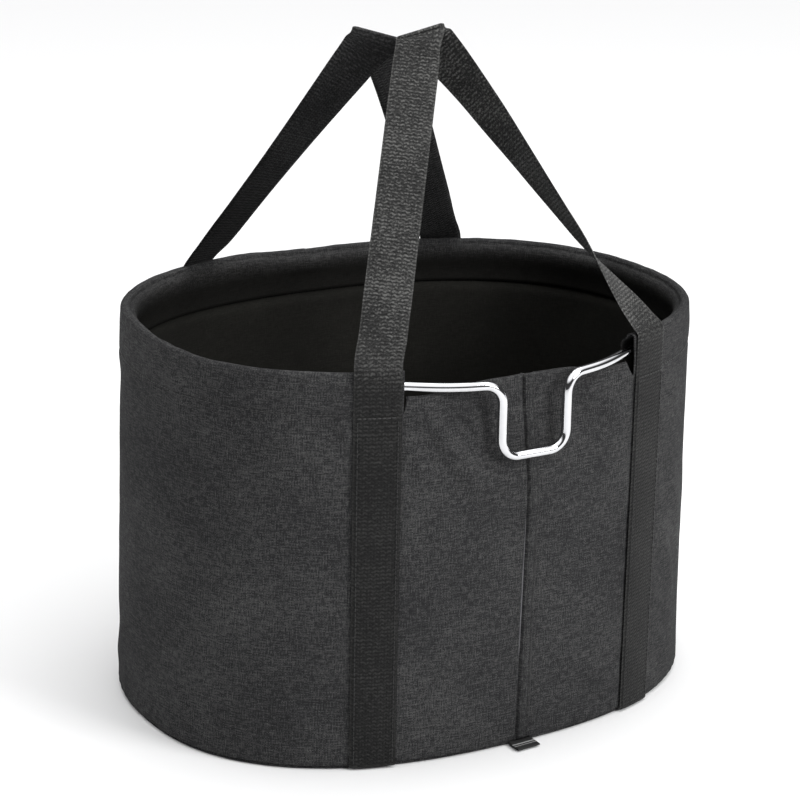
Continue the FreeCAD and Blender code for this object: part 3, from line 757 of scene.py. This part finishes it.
under = build_disc("base_underside_cloth", 1.6, 1.25, 0.0, MAT["shell"], 1.1, 52, edge=0.25)
solidify(under, 1.15, -1.0)
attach(under, "bag")
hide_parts("base_cloth")


# ------------------------------------------------------------------ webbing loops
def unit(v):
    v = np.asarray(v, float)
    return v / np.linalg.norm(v)


def strap_normal(sx, side):
    yo = side * -wall_y(STRAP_X1, 0, 255.0)
    yi = side * -wall_y(STRAP_X0, 0, 255.0)
    w = unit((sx * (STRAP_X0 - STRAP_X1), yi - yo, 0))
    n = np.cross((0, 0, 1), w)
    if n[1] * side < 0:
        n = -n
    return w, n


FACE = unit((0.48973362, 0.81679835, -0.30496137))     # direction that the tops of the handles face away from
SIDE_R = np.array([0.86074691, -0.50864283, 0.01993064])
SIDE_U = np.array([0.1388371, 0.27225526, 0.95215615])


def foot_stations(side, sx, dx, top, flip):
    """Up the wall and over the crest: (centre, width vector, weight of the free shape, sideways shift)."""
    w, n = strap_normal(sx, side)
    ww = -w if flip else w
    foot = []
    for z in (1.4, 30, 60, 90, 120, 150, 180, 205, 222, 230, 236, 242, 248, 253.0):
        sh = dx * min(1.0, max(0.0, (z - 230.0) / 26.0))
        x = sx * STRAP_X + sh
        c = np.array([x, side * -wall_y(x, 0, z), z]) + n * (GAP + STRAP_T / 2)
        foot.append((c, ww, 0.0, sh))
    x = sx * STRAP_X + dx
    mid = np.array([x, side * -wall_y(x, 0, 255.0), 0.0]) + n * (GAP + STRAP_T / 2 + 0.1)
    t = unit(top - np.array([mid[0], mid[1], CZ]))
    lean = math.atan2(-t[1] * side, t[2])
    rr = HEM_R + GAP + STRAP_T / 2 + 0.35
    ctr = mid - n * rr
    for k in (0.3, 0.65, 1.0):
        a = lean * k
        c = ctr + n * (rr * math.cos(a)) + np.array([0, 0, CZ + rr * math.sin(a)])
        foot.append((c, ww, min(1.0, k * 0.6), dx))
    return foot, ww


def leg(c0, c1, w0, w1, table):
    """Stations between c0 and c1. table: (share, roll from the broad face-on position in degrees, shift right, shift
    up)."""
    d = unit(c1 - c0)
    wf = unit(np.cross(FACE, d))
    if wf[0] < 0:
        wf = -wf
    bf = np.cross(d, wf)
    out = []
    for t, roll, ra, ua in table:
        w = wf * math.cos(math.radians(roll)) + bf * math.sin(math.radians(roll))
        out.append((c0 + (c1 - c0) * t + SIDE_R * ra + SIDE_U * ua, w, 1.0, 0.0))
    return out


def loop_stations(side, fold_l, fold_r, dx_l, dx_r, table_l, table_r, flip_r=False):
    fold_l, fold_r = np.array(fold_l, float), np.array(fold_r, float)
    fold_c = (fold_l + fold_r) / 2
    f = unit(fold_r - fold_l)
    fl, wl = foot_stations(side, -1, dx_l, fold_c, False)
    fr, wr = foot_stations(side, 1, dx_r, fold_c, flip_r)
    start_l, start_r = fl[-1][0], fr[-1][0]
    away = np.array([0.4863, 0.8063, 0.0])
    away = unit(away - f * away.dot(f))
    up = np.cross(f, away)
    if up[2] < 0:
        up = -up
    rr = 0.98
    st = list(fl)
    st += leg(start_l, fold_c, wl, f, table_l)
    basep = fold_c - up * rr
    wide = 1 / math.sqrt(1 - np.dot(f, unit(fold_c - start_l)) ** 2)     # the fold crosses the webbing at a slant
    for k in range(0, 9):
        a = math.pi * k / 8
        dirn = up * math.sin(a) - away * math.cos(a)
        st.append((basep + away * rr + dirn * rr, f * wide, 1.0, 0.0))
    end = st[-1][0]
    st += leg(end, start_r, f, wr, table_r)
    st += list(reversed(fr))
    return st


def catmull(P, t_new):
    """Centripetal-style cubic through points P at their chord lengths."""
    P = np.asarray(P, float)
    L = np.concatenate([[0], np.cumsum(np.maximum(1e-6, np.linalg.norm(np.diff(P[:, :3], axis=0), axis=1)))])
    m = np.zeros_like(P)
    for i in range(len(P)):
        a, b = max(0, i - 1), min(len(P) - 1, i + 1)
        if 0 < i < len(P) - 1:
            h0, h1 = L[i] - L[i - 1], L[i + 1] - L[i]
            s0, s1 = (P[i] - P[i - 1]) / h0, (P[i + 1] - P[i]) / h1
            m[i] = (s0 * h1 + s1 * h0) / (h0 + h1)
        else:
            m[i] = (P[b] - P[a]) / (L[b] - L[a])
    out = np.zeros((len(t_new), P.shape[1]))
    idx = np.clip(np.searchsorted(L, t_new, side="right") - 1, 0, len(P) - 2)
    h = (L[idx + 1] - L[idx])[:, None]
    u = ((t_new - L[idx]) / (L[idx + 1] - L[idx]))[:, None]
    h00, h10, h01, h11 = 2 * u ** 3 - 3 * u ** 2 + 1, u ** 3 - 2 * u ** 2 + u, -2 * u ** 3 + 3 * u ** 2, u ** 3 - u ** 2
    out = h00 * P[idx] + h10 * h * m[idx] + h01 * P[idx + 1] + h11 * h * m[idx + 1]
    return out, L


def build_webbing(name, side, stations, mat, seed):
    C = np.array([np.concatenate([c, unit(w) * 10.0, [b, sh, np.linalg.norm(w)]]) for c, w, b, sh in stations])
    L = np.concatenate([[0], np.cumsum(np.maximum(1e-6, np.linalg.norm(np.diff(C[:, :3], axis=0), axis=1)))])
    step = 0.53
    t = [0.0]
    n_s = int(L[-1] / step)
    tt = np.linspace(0, L[-1], n_s)
    # finer round the tight fold at the top
    i0 = next(i for i in range(len(C)) if C[i, 2] > 400 and L[i + 1] - L[i] < 1.5)
    i1 = max(i for i in range(len(C)) if C[i, 2] > 400 and L[i] - L[i - 1] < 1.5)
    extra = np.arange(L[i0] - 1, L[i1] + 1, 0.18)
    tt = np.unique(np.concatenate([tt, extra]))
    S, _ = catmull(C, tt)
    c, w, beta, shift = S[:, :3], S[:, 3:6], np.clip(S[:, 6], 0, 1), S[:, 7]
    w = w / np.linalg.norm(w, axis=1, keepdims=True) * S[:, 8:9]
    nj = 31
    v = np.linspace(-1, 1, nj)
    v = np.sign(v) * (1 - (1 - np.abs(v)) ** 1.25) if False else v
    half = STRAP_W / 2 * 0.985
    flat = c[:, None, :] + w[:, None, :] * (v * half)[None, :, None]
    # on the wall the webbing follows the wall's own curve
    sx = np.where(np.arange(len(tt)) < len(tt) / 2, -1.0, 1.0)
    cosw = np.abs(strap_normal(1, side)[0][0])
    wsx = np.where(np.abs(w[:, 0]) > 1e-6, np.sign(w[:, 0]), 1.0)
    vx = sx[:, None] * STRAP_X + shift[:, None] + wsx[:, None] * v[None, :] * half * cosw
    zz = np.minimum(c[:, 2], 256.0)[:, None] + 0 * vx
    wy = wall_y(vx, 0, zz)
    nxy = wall_normal_xy(vx, wy, zz)
    gap = GAP + STRAP_T / 2
    wallp = np.stack([vx + nxy[0] * gap, side * -wy + side * -nxy[1] * gap, c[:, 2][:, None] + 0 * vx], -1)
    P = wallp * (1 - beta[:, None, None]) + flat * beta[:, None, None]
    z = c[:, 2]
    # surface frame
    du = np.gradient(P, axis=0)
    dv = np.gradient(P, axis=1)
    N = np.cross(dv, du)
    N /= np.maximum(1e-9, np.linalg.norm(N, axis=2, keepdims=True))
    # outward side: at the left foot the normal points away from the tub
    if N[3, nj // 2, 1] * side < 0:
        N = -N
    ll = np.concatenate([[0], np.cumsum(np.linalg.norm(np.diff(P[:, nj // 2], axis=0), axis=1))])
    vm = v * half
    prof = np.clip(1 - np.abs(v) ** 14, 0.0, 1) ** 0.5 * 0.9 + 0.1
    # ribs across, each broken into short floats, with flat selvedges
    rib = np.abs(np.sin(math.pi * ll[:, None] / 1.6))
    col = 0.7 + 0.3 * np.abs(np.sin(math.pi * vm[None, :] / 2.5))
    edge = 1 - smoothstep(np.abs(vm), 12.9, 13.8)[None, :]
    h = 0.17 * rib * col * edge
    wave = 0.12 * fbm(ll[:, None] / 26.0 + seed, vm[None, :] / 14.0, seed, 2)
    outer = P + N * (STRAP_T / 2 * prof[None, :] - 0.10 + h + wave * beta[:, None])[:, :, None]
    inner = P - N * (STRAP_T / 2 * prof[None, :] - 0.12 + 0.12 * rib * col * edge - wave * beta[:, None] * 0)[:, :, None]
    ni = len(tt)
    verts = np.concatenate([outer, inner[:, ::-1]], axis=1)          # closed loop across
    m = verts.shape[1]
    us = np.concatenate([vm, vm[::-1] + 40.0])
    uv = np.stack([np.broadcast_to(us[None, :] * MM, (ni, m)), np.broadcast_to(ll[:, None] * MM, (ni, m))], -1)
    V = verts.reshape(-1, 3)
    i = np.arange(ni - 1)[:, None] * m
    j = np.arange(m)[None, :]
    j2 = (j + 1) % m
    F = np.stack([i + j, i + j2, i + m + j2, i + m + j], -1).reshape(-1, 4)
    faces = F.tolist()
    # closed ends
    c0 = len(V)
    V = np.concatenate([V, [verts[0].mean(0)], [verts[-1].mean(0)]])
    UV = np.concatenate([uv.reshape(-1, 2), [[0, 0]], [[0, ll[-1] * MM]]])
    for j_ in range(m):
        faces.append([c0, (j_ + 1) % m, j_])
        faces.append([c0 + 1, (ni - 1) * m + j_, (ni - 1) * m + (j_ + 1) % m])
    o = mesh_object(name, V, faces, UV, mat)
    # consistent outward faces
    import bmesh
    bm = bmesh.new()
    bm.from_mesh(o.data)
    bmesh.ops.recalc_face_normals(bm, faces=bm.faces)
    bm.to_mesh(o.data)
    bm.free()
    info = {"P": P, "N": N, "z": z, "ll": ll, "vm": vm, "beta": beta}
    return o, info


FRONT = loop_stations(-1, (-13.4, -0.6, 431.1), (12.6, -12.6, 440.0), 0.0, 0.0,
                      [(0.1, -8.0, 0, 0), (0.25, 0.0, 0, 0), (0.5, 0.0, 0, 0), (0.75, 0.0, 0, 0), (0.9, -4.0, 0, 0), (0.97, -10.0, 0, 0)],
                      [(0.05, 20.0, 2.0, 1.2), (0.12, 35.0, 2.8, 2.0), (0.2, 45.0, 3.0, 2.3), (0.3, 53.0, 2.7, 2.1), (0.4, 62.0, 2.2, 1.7), (0.5, 70.0, 1.6, 1.2),
                       (0.6, 78.0, 1.0, 0.8), (0.7, 86.0, 0.5, 0.4), (0.77, 97.0, 0.2, 0.1), (0.84, 110.0, 0, 0), (0.91, 122.0, 0, 0), (0.97, 128.0, 0, 0)])
REAR = loop_stations(1, (-29.4, 26.0, 435.0), (-6.6, 8.4, 428.6), 10.0, 4.0,
                     [(0.12, 64.0, 0, 0), (0.3, 61.0, 0, 0), (0.5, 55.0, 0, 0), (0.68, 45.0, 0, 0), (0.82, 33.0, 0, 0), (0.93, 18.0, 0, 0)],
                     [(0.06, 6.0, 1.5, 0), (0.15, 4.0, 2.6, 0.4), (0.3, 0.0, 3.2, 0.5), (0.45, 0.0, 2.8, 0.4), (0.6, 0.0, 2.0, 0.2), (0.8, 0.0, 1.0, 0), (0.93, 0.0, 0, 0)], flip_r=True)
front_web, front_info = build_webbing("front_webbing", -1, FRONT, MAT["webbing"], 3)
rear_web, rear_info = build_webbing("rear_webbing", 1, REAR, MAT["webbing_rear_shaded"], 5)
for o, side, nodes, body in ((front_web, -1, ("strap_front_left", "strap_front_right", "front_handle_webbing"), "front_handle"),
                             (rear_web, 1, ("strap_rear_left", "strap_rear_right", "rear_handle_webbing"), "rear_handle")):
    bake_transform(o)
    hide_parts(*nodes)


# ------------------------------------------------------------------ rim wire, along the CAD route
def wire_route():
    def oval(deg, off, dz=0.0):
        th = math.radians(deg)
        a_, b_, n_ = abn(251.0, off)
        c_, s_ = math.cos(th), math.sin(th)
        return (math.copysign(abs(c_) ** (2 / n_), c_) * a_, math.copysign(abs(s_) ** (2 / n_), s_) * b_, 251.0 + dz)

    yb = oval(90, HEM_R)[1]
    right = [(0.6, yb, 251.0), (34.0, yb, 251.0)]
    for deg, dz in ((73, 0), (63, 0), (53, 0), (43, 0), (33, 0), (23, 0), (12, 0), (0, 0), (-12, 0), (-23, 0), (-33, -0.4), (-43, -1.3), (-53, -2.6)):
        right.append(oval(deg, HEM_R - 0.35, dz))
    right += [(84.0, -130.6, 247.0), (56.0, -144.2, 245.7), (23.5, -151.1, 245.0), (23.5, -151.5, 198.4)]
    pts = np.array(right + [(-x, y, z) for x, y, z in reversed(right)])
    line = [pts[0]]
    for i in range(1, len(pts) - 1):
        p, q, r = pts[i - 1], pts[i], pts[i + 1]
        u, w = unit(p - q), unit(r - q)
        ang = math.acos(np.clip(np.dot(u, w), -1, 1))
        rad = min(400.0, 0.46 * min(np.linalg.norm(p - q), np.linalg.norm(r - q)) * math.tan(ang / 2))
        if abs(abs(q[0]) - 23.5) < 0.01:
            rad = 12.0
        cut = rad / math.tan(ang / 2)
        ctr = q + unit(u + w) * (rad / math.sin(ang / 2))
        a, b = q + u * cut, q + w * cut
        ra, rb = a - ctr, b - ctr
        turn = math.acos(np.clip(np.dot(unit(ra), unit(rb)), -1, 1))
        m_ = max(4, int(turn * rad / 1.3))
        ax = unit(np.cross(ra, rb))
        if np.linalg.norm(a - line[-1]) > 2.5:
            k_ = int(np.linalg.norm(a - line[-1]) / 2.0)
            s0 = line[-1]
            line += [s0 + (a - s0) * t for t in np.linspace(0, 1, k_ + 1)[1:-1]]
        for t in np.linspace(0, 1, m_ + 1):
            an = turn * t
            line.append(ctr + ra * math.cos(an) + np.cross(ax, ra) * math.sin(an))
    s0 = line[-1]
    k_ = int(np.linalg.norm(pts[-1] - s0) / 2.0)
    line += [s0 + (pts[-1] - s0) * t for t in np.linspace(0, 1, k_ + 1)[1:]]
    out = [line[0]]
    for q in line[1:]:
        if np.linalg.norm(q - out[-1]) > 0.25:
            out.append(q)
    return np.array(out)


def tube(name, line, rad, mat, sides=28):
    T = np.gradient(line, axis=0)
    T /= np.linalg.norm(T, axis=1, keepdims=True)
    e = unit(np.cross(T[0], (0, 0, 1.0)))
    verts, uvs = [], []
    L = np.concatenate([[0], np.cumsum(np.linalg.norm(np.diff(line, axis=0), axis=1))])
    for i in range(len(line)):
        e = unit(e - T[i] * np.dot(e, T[i]))
        g = np.cross(T[i], e)
        for k in range(sides):
            a = 2 * math.pi * k / sides
            verts.append(line[i] + (e * math.cos(a) + g * math.sin(a)) * rad)
            uvs.append((k / sides * 0.01, L[i] * MM))
    faces = []
    for i in range(len(line) - 1):
        for k in range(sides):
            k2 = (k + 1) % sides
            faces.append((i * sides + k, i * sides + k2, (i + 1) * sides + k2, (i + 1) * sides + k))
    faces.append(tuple(reversed(range(sides))))
    faces.append(tuple((len(line) - 1) * sides + k for k in range(sides)))
    o = mesh_object(name, verts, faces, uvs, mat)
    o.data.polygons[len(faces) - 1].use_smooth = False
    o.data.polygons[len(faces) - 2].use_smooth = False
    return o


wire = tube("bright_rim_wire", wire_route(), 3.0, MAT["chrome"])
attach(wire, "bag")
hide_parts("rim_wire")


# ------------------------------------------------------------------ stitches
def stitch_mesh(name, runs, mat, pitch=3.3, length=2.7, rad=0.34, lift=0.12):
    """runs: list of (points (n,3) mm, normals (n,3)). One closed bent capsule a stitch."""
    verts, faces, uvs = [], [], []
    ring_n, seg = 6, 5
    for pts, nrm in runs:
        pts, nrm = np.asarray(pts, float), np.asarray(nrm, float)
        L = np.concatenate([[0], np.cumsum(np.linalg.norm(np.diff(pts, axis=0), axis=1))])
        k = max(1, int(L[-1] // pitch))
        for q in range(k):
            a = q * pitch + (pitch - length) / 2 + rng.uniform(-0.12, 0.12)
            tq = np.linspace(a, a + length, seg)
            c = np.stack([np.interp(tq, L, pts[:, i]) for i in range(3)], -1)
            nn = np.stack([np.interp(tq, L, nrm[:, i]) for i in range(3)], -1)
            nn /= np.linalg.norm(nn, axis=1, keepdims=True)
            d = unit(c[-1] - c[0])
            prof = np.sin(np.linspace(0.0, math.pi, seg)) ** 0.5
            c = c + nn * ((lift + rad * 0.75) * prof - rad * 0.55)[:, None]
            b0 = len(verts)
            r_ = np.linspace(0, math.pi, seg)
            for i in range(seg):
                rr = rad * (0.55 + 0.45 * math.sin(r_[i])) if 0 < i < seg - 1 else rad * 0.45
                e1 = nn[i]
                e2 = np.cross(d, e1)
                e2 /= np.linalg.norm(e2)
                for g in range(ring_n):
                    an = 2 * math.pi * g / ring_n
                    verts.append(c[i] + e1 * math.cos(an) * rr + e2 * math.sin(an) * rr)
                    uvs.append((g / ring_n * 0.001, (tq[i]) * MM))
            for i in range(seg - 1):
                for g in range(ring_n):
                    g2 = (g + 1) % ring_n
                    faces.append((b0 + i * ring_n + g, b0 + i * ring_n + g2, b0 + (i + 1) * ring_n + g2, b0 + (i + 1) * ring_n + g))
            faces.append(tuple(b0 + g for g in reversed(range(ring_n))))
            faces.append(tuple(b0 + (seg - 1) * ring_n + g for g in range(ring_n)))
    return mesh_object(name, verts, faces, uvs, mat)


def strap_runs(info, side, v_at, z0, z1):
    """Points on the outside of the sewn straps, at v_at mm from the centre line."""
    out = []
    P, N, z, vm, ni = info["P"], info["N"], info["z"], info["vm"], len(info["z"])
    for half_ in (slice(0, ni // 2), slice(ni // 2, ni)):
        zz = z[half_]
        sel = (zz > z0) & (zz < z1)
        p = np.stack([np.array([np.interp(v_at, vm, P[half_][i, :, a]) for i in np.where(sel)[0]]) for a in range(3)], -1)
        n = np.stack([np.array([np.interp(v_at, vm, N[half_][i, :, a]) for i in np.where(sel)[0]]) for a in range(3)], -1)
        out.append((p + n * (STRAP_T / 2 + 0.02), n))
    return out


runs = []
for info, side in ((front_info, -1), (rear_info, 1)):
    for va in (-12.3, 12.3):
        runs += strap_runs(info, side, va, 3.5, 229.0)
edge_st = stitch_mesh("strap_edge_stitches", runs, MAT["thread"])
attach(edge_st, "bag")
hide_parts("strap_edge_stitching")

runs = []
for info, side in ((front_info, -1), (rear_info, 1)):
    P, N, z, vm, ni = info["P"], info["N"], info["z"], info["vm"], len(info["z"])
    for half_ in (np.arange(0, ni // 2), np.arange(ni // 2, ni)):
        for zt in (230.0,):
            i = half_[np.argmin(np.abs(z[half_] - zt))]
            sel = np.abs(vm) < 13.6
            runs.append((P[i, sel] + N[i, sel] * (STRAP_T / 2 + 0.05), N[i, sel]))
cross_st = stitch_mesh("anchor_cross_stitches", runs, MAT["thread_light"], pitch=3.0, length=2.6, rad=0.4)
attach(cross_st, "bag")
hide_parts("anchor_stitching")


def wall_run(s_arr, z_arr, extra):
    P, sg = shell_points(s_arr, z_arr, np.zeros(len(s_arr)))
    nx, ny = wall_normal_xy(P[:, 0], P[:, 1], z_arr)
    N = np.stack([nx, ny, 0 * nx], -1)
    return P + N * extra, N


runs = []
a0, a1 = s_of_x(STRAP_X1) + 1.5, PERIM - s_of_x(STRAP_X1) - 1.5
# the back straps interrupt the row
_sb = []
for x in (STRAP_X1, STRAP_X0, -STRAP_X0, -STRAP_X1):
    i = 5001 + np.argmin(np.abs(_x[5001:15001] - x))
    _sb.append(_s[i])
for lo, hi in ((a0, _sb[0] - 1.5), (_sb[1] + 1.5, _sb[2] - 1.5), (_sb[3] + 1.5, a1)):
    s_ = np.arange(lo, hi, 1.0)
    runs.append(wall_run(s_, np.full(len(s_), HEM_Z + 1.7), 0.12))
hem_st = stitch_mesh("hem_stitches", runs, MAT["thread_light"], pitch=3.2, length=2.7, rad=0.32)
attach(hem_st, "bag")
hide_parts("hem_stitching")

runs = []
for q in (1.9, 5.7):
    z_ = np.arange(6.0, 243.0, 1.0)
    s_ = seam_x(z_) + q
    runs.append(wall_run(s_, z_, 1.0 - 0.4 + 0.1))
seam_st = stitch_mesh("centre_seam_stitches", runs, MAT["thread"], pitch=3.2, length=2.6, rad=0.3)
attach(seam_st, "bag")
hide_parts("centre_seam_stitching")


# ------------------------------------------------------------------ label
def build_label():
    n_u, n_v = 26, 40
    w, reach = 17.0, 11.2
    verts, uvs, faces = [], [], []
    # section: out from the seam, round the fold and back, drooping a little
    path = []
    for t in np.linspace(0, 1, 18):
        path.append((reach * t, 1.95 - 0.25 * t))
    for a in np.linspace(0, math.pi, 7)[1:-1]:
        path.append((reach + 0.45 * math.sin(a), 1.70 - 0.42 + 0.42 * math.cos(a)))
    for t in np.linspace(1, 0, 17):
        path.append((reach * t, 0.86 - 0.1 * math.sin(math.pi * t)))
    ll = np.concatenate([[0], np.cumsum(np.hypot(*np.diff(np.array(path), axis=0).T))])
    for i, (o, z) in enumerate(path):
        for j in range(n_u + 1):
            x = -6.5 + w * j / n_u
            curl = 0.35 * (2 * j / n_u - 1) ** 2 * (o / reach)
            y = wall_y(x, 0.4, 2.0) - o + 0.35 * math.sin(3 * x / w)
            verts.append((x, y, z + curl * 0.4))
            uvs.append((x * MM, ll[i] * MM))
    m = n_u + 1
    for i in range(len(path) - 1):
        for j in range(n_u):
            faces.append((i * m + j, i * m + j + 1, (i + 1) * m + j + 1, (i + 1) * m + j))
    mm = M("woven_label", (0.02, 0.02, 0.02), 0.7, 0.0, 0.3)
    vec, u, v = mm.uv()
    stripe = mm.math("LESS_THAN", mm.math("ABSOLUTE", mm.math("SUBTRACT", v, 0.0052)), 0.0006)
    stripe2 = mm.math("LESS_THAN", mm.math("ABSOLUTE", mm.math("SUBTRACT", v, 0.0075)), 0.0003)
    st = mm.math("ADD", stripe, stripe2, clamp=True)
    thr = mm.math("ABSOLUTE", mm.math("SINE", mm.math("MULTIPLY", u, math.pi / 0.00035)))
    thr2 = mm.math("ABSOLUTE", mm.math("SINE", mm.math("MULTIPLY", v, math.pi / 0.0003)))
    hgt = mm.math("MULTIPLY", thr, thr2)
    base = mm.ramp(hgt, [(0.0, (0.008, 0.008, 0.008)), (1.0, (0.028, 0.028, 0.028))])
    col = mm.mixc(st, base, (0.30, 0.30, 0.30))
    mm.link(col, mm.b.inputs["Base Color"])
    mm.link(mm.bump(hgt, 0.4, 0.0001), mm.b.inputs["Normal"])
    o = mesh_object("plain_side_label", verts, faces, uvs, mm.mat)
    solidify(o, 0.28, 0.0)
    return o


label = build_label()
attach(label, "bag")
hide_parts("side_label")

# ------------------------------------------------------------------ CAD nodes that stay
for node, key in (("wire_sleeve", "steel"), ("wall_stiffener", "foam"),
                  ("base_board", "board"), ("base_seam_binding", "tape")):
    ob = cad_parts[node]
    ob.data.materials.clear()
    ob.data.materials.append(MAT[key])
    for p in ob.data.polygons:
        p.use_smooth = True

# ------------------------------------------------------------------ floor, light
def quad(name, size, z, mat):
    me = bpy.data.meshes.new(name)
    s = size
    me.from_pydata([(-s, -s, z), (s, -s, z), (s, s, z), (-s, s, z)], [], [(0, 1, 2, 3)])
    o = bpy.data.objects.new(name, me)
    bpy.context.scene.collection.objects.link(o)
    me.materials.append(mat)
    return o


fm = M("pale_floor", (0.86, 0.86, 0.86), 0.9, 0.0, 0.1)
floor = quad("floor", 6.0, -0.0004, fm.mat)
floor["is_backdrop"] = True

world = bpy.data.worlds.new("studio")
bpy.context.scene.world = world
world.use_nodes = True
wt = world.node_tree
wt.nodes.clear()
wo = wt.nodes.new("ShaderNodeOutputWorld")
bg = wt.nodes.new("ShaderNodeBackground")
wc = wt.nodes.new("ShaderNodeTexCoord")
ws = wt.nodes.new("ShaderNodeSeparateXYZ")
wr_ = wt.nodes.new("ShaderNodeValToRGB")
wt.links.new(wc.outputs["Generated"], ws.inputs[0])
wt.links.new(ws.outputs[2], wr_.inputs[0])
el = wr_.color_ramp.elements
el[0].position, el[0].color = 0.0, (0.95, 0.95, 0.95, 1)
el[1].position, el[1].color = 1.0, (1.6, 1.6, 1.6, 1)
for pos_, c_ in ((0.012, 0.9), (0.03, 0.07), (0.46, 0.05), (0.56, 0.7), (0.68, 1.5)):
    k_ = el.new(pos_)
    k_.color = (c_, c_, c_ * 1.01, 1)
wt.links.new(wr_.outputs[0], bg.inputs[0])
bg.inputs[1].default_value = 1.0
wt.links.new(bg.outputs[0], wo.inputs[0])


def area(name, loc, target, size, power):
    ld = bpy.data.lights.new(name, "AREA")
    ld.shape = "SQUARE"
    ld.size = size
    ld.energy = power
    o = bpy.data.objects.new(name, ld)
    bpy.context.scene.collection.objects.link(o)
    o.location = loc
    o.rotation_mode = "QUATERNION"
    o.rotation_quaternion = (Vector(target) - Vector(loc)).to_track_quat("-Z", "Y")
    return o


area("key", (1.05, -2.0, 1.35), (0, 0, 0.15), 1.0, 40)
area("top", (0.2, 0.2, 2.2), (0, 0, 0.1), 1.6, 14)

try:
    bpy.context.scene.view_settings.view_transform = "Standard"
except TypeError:
    pass

lo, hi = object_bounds()
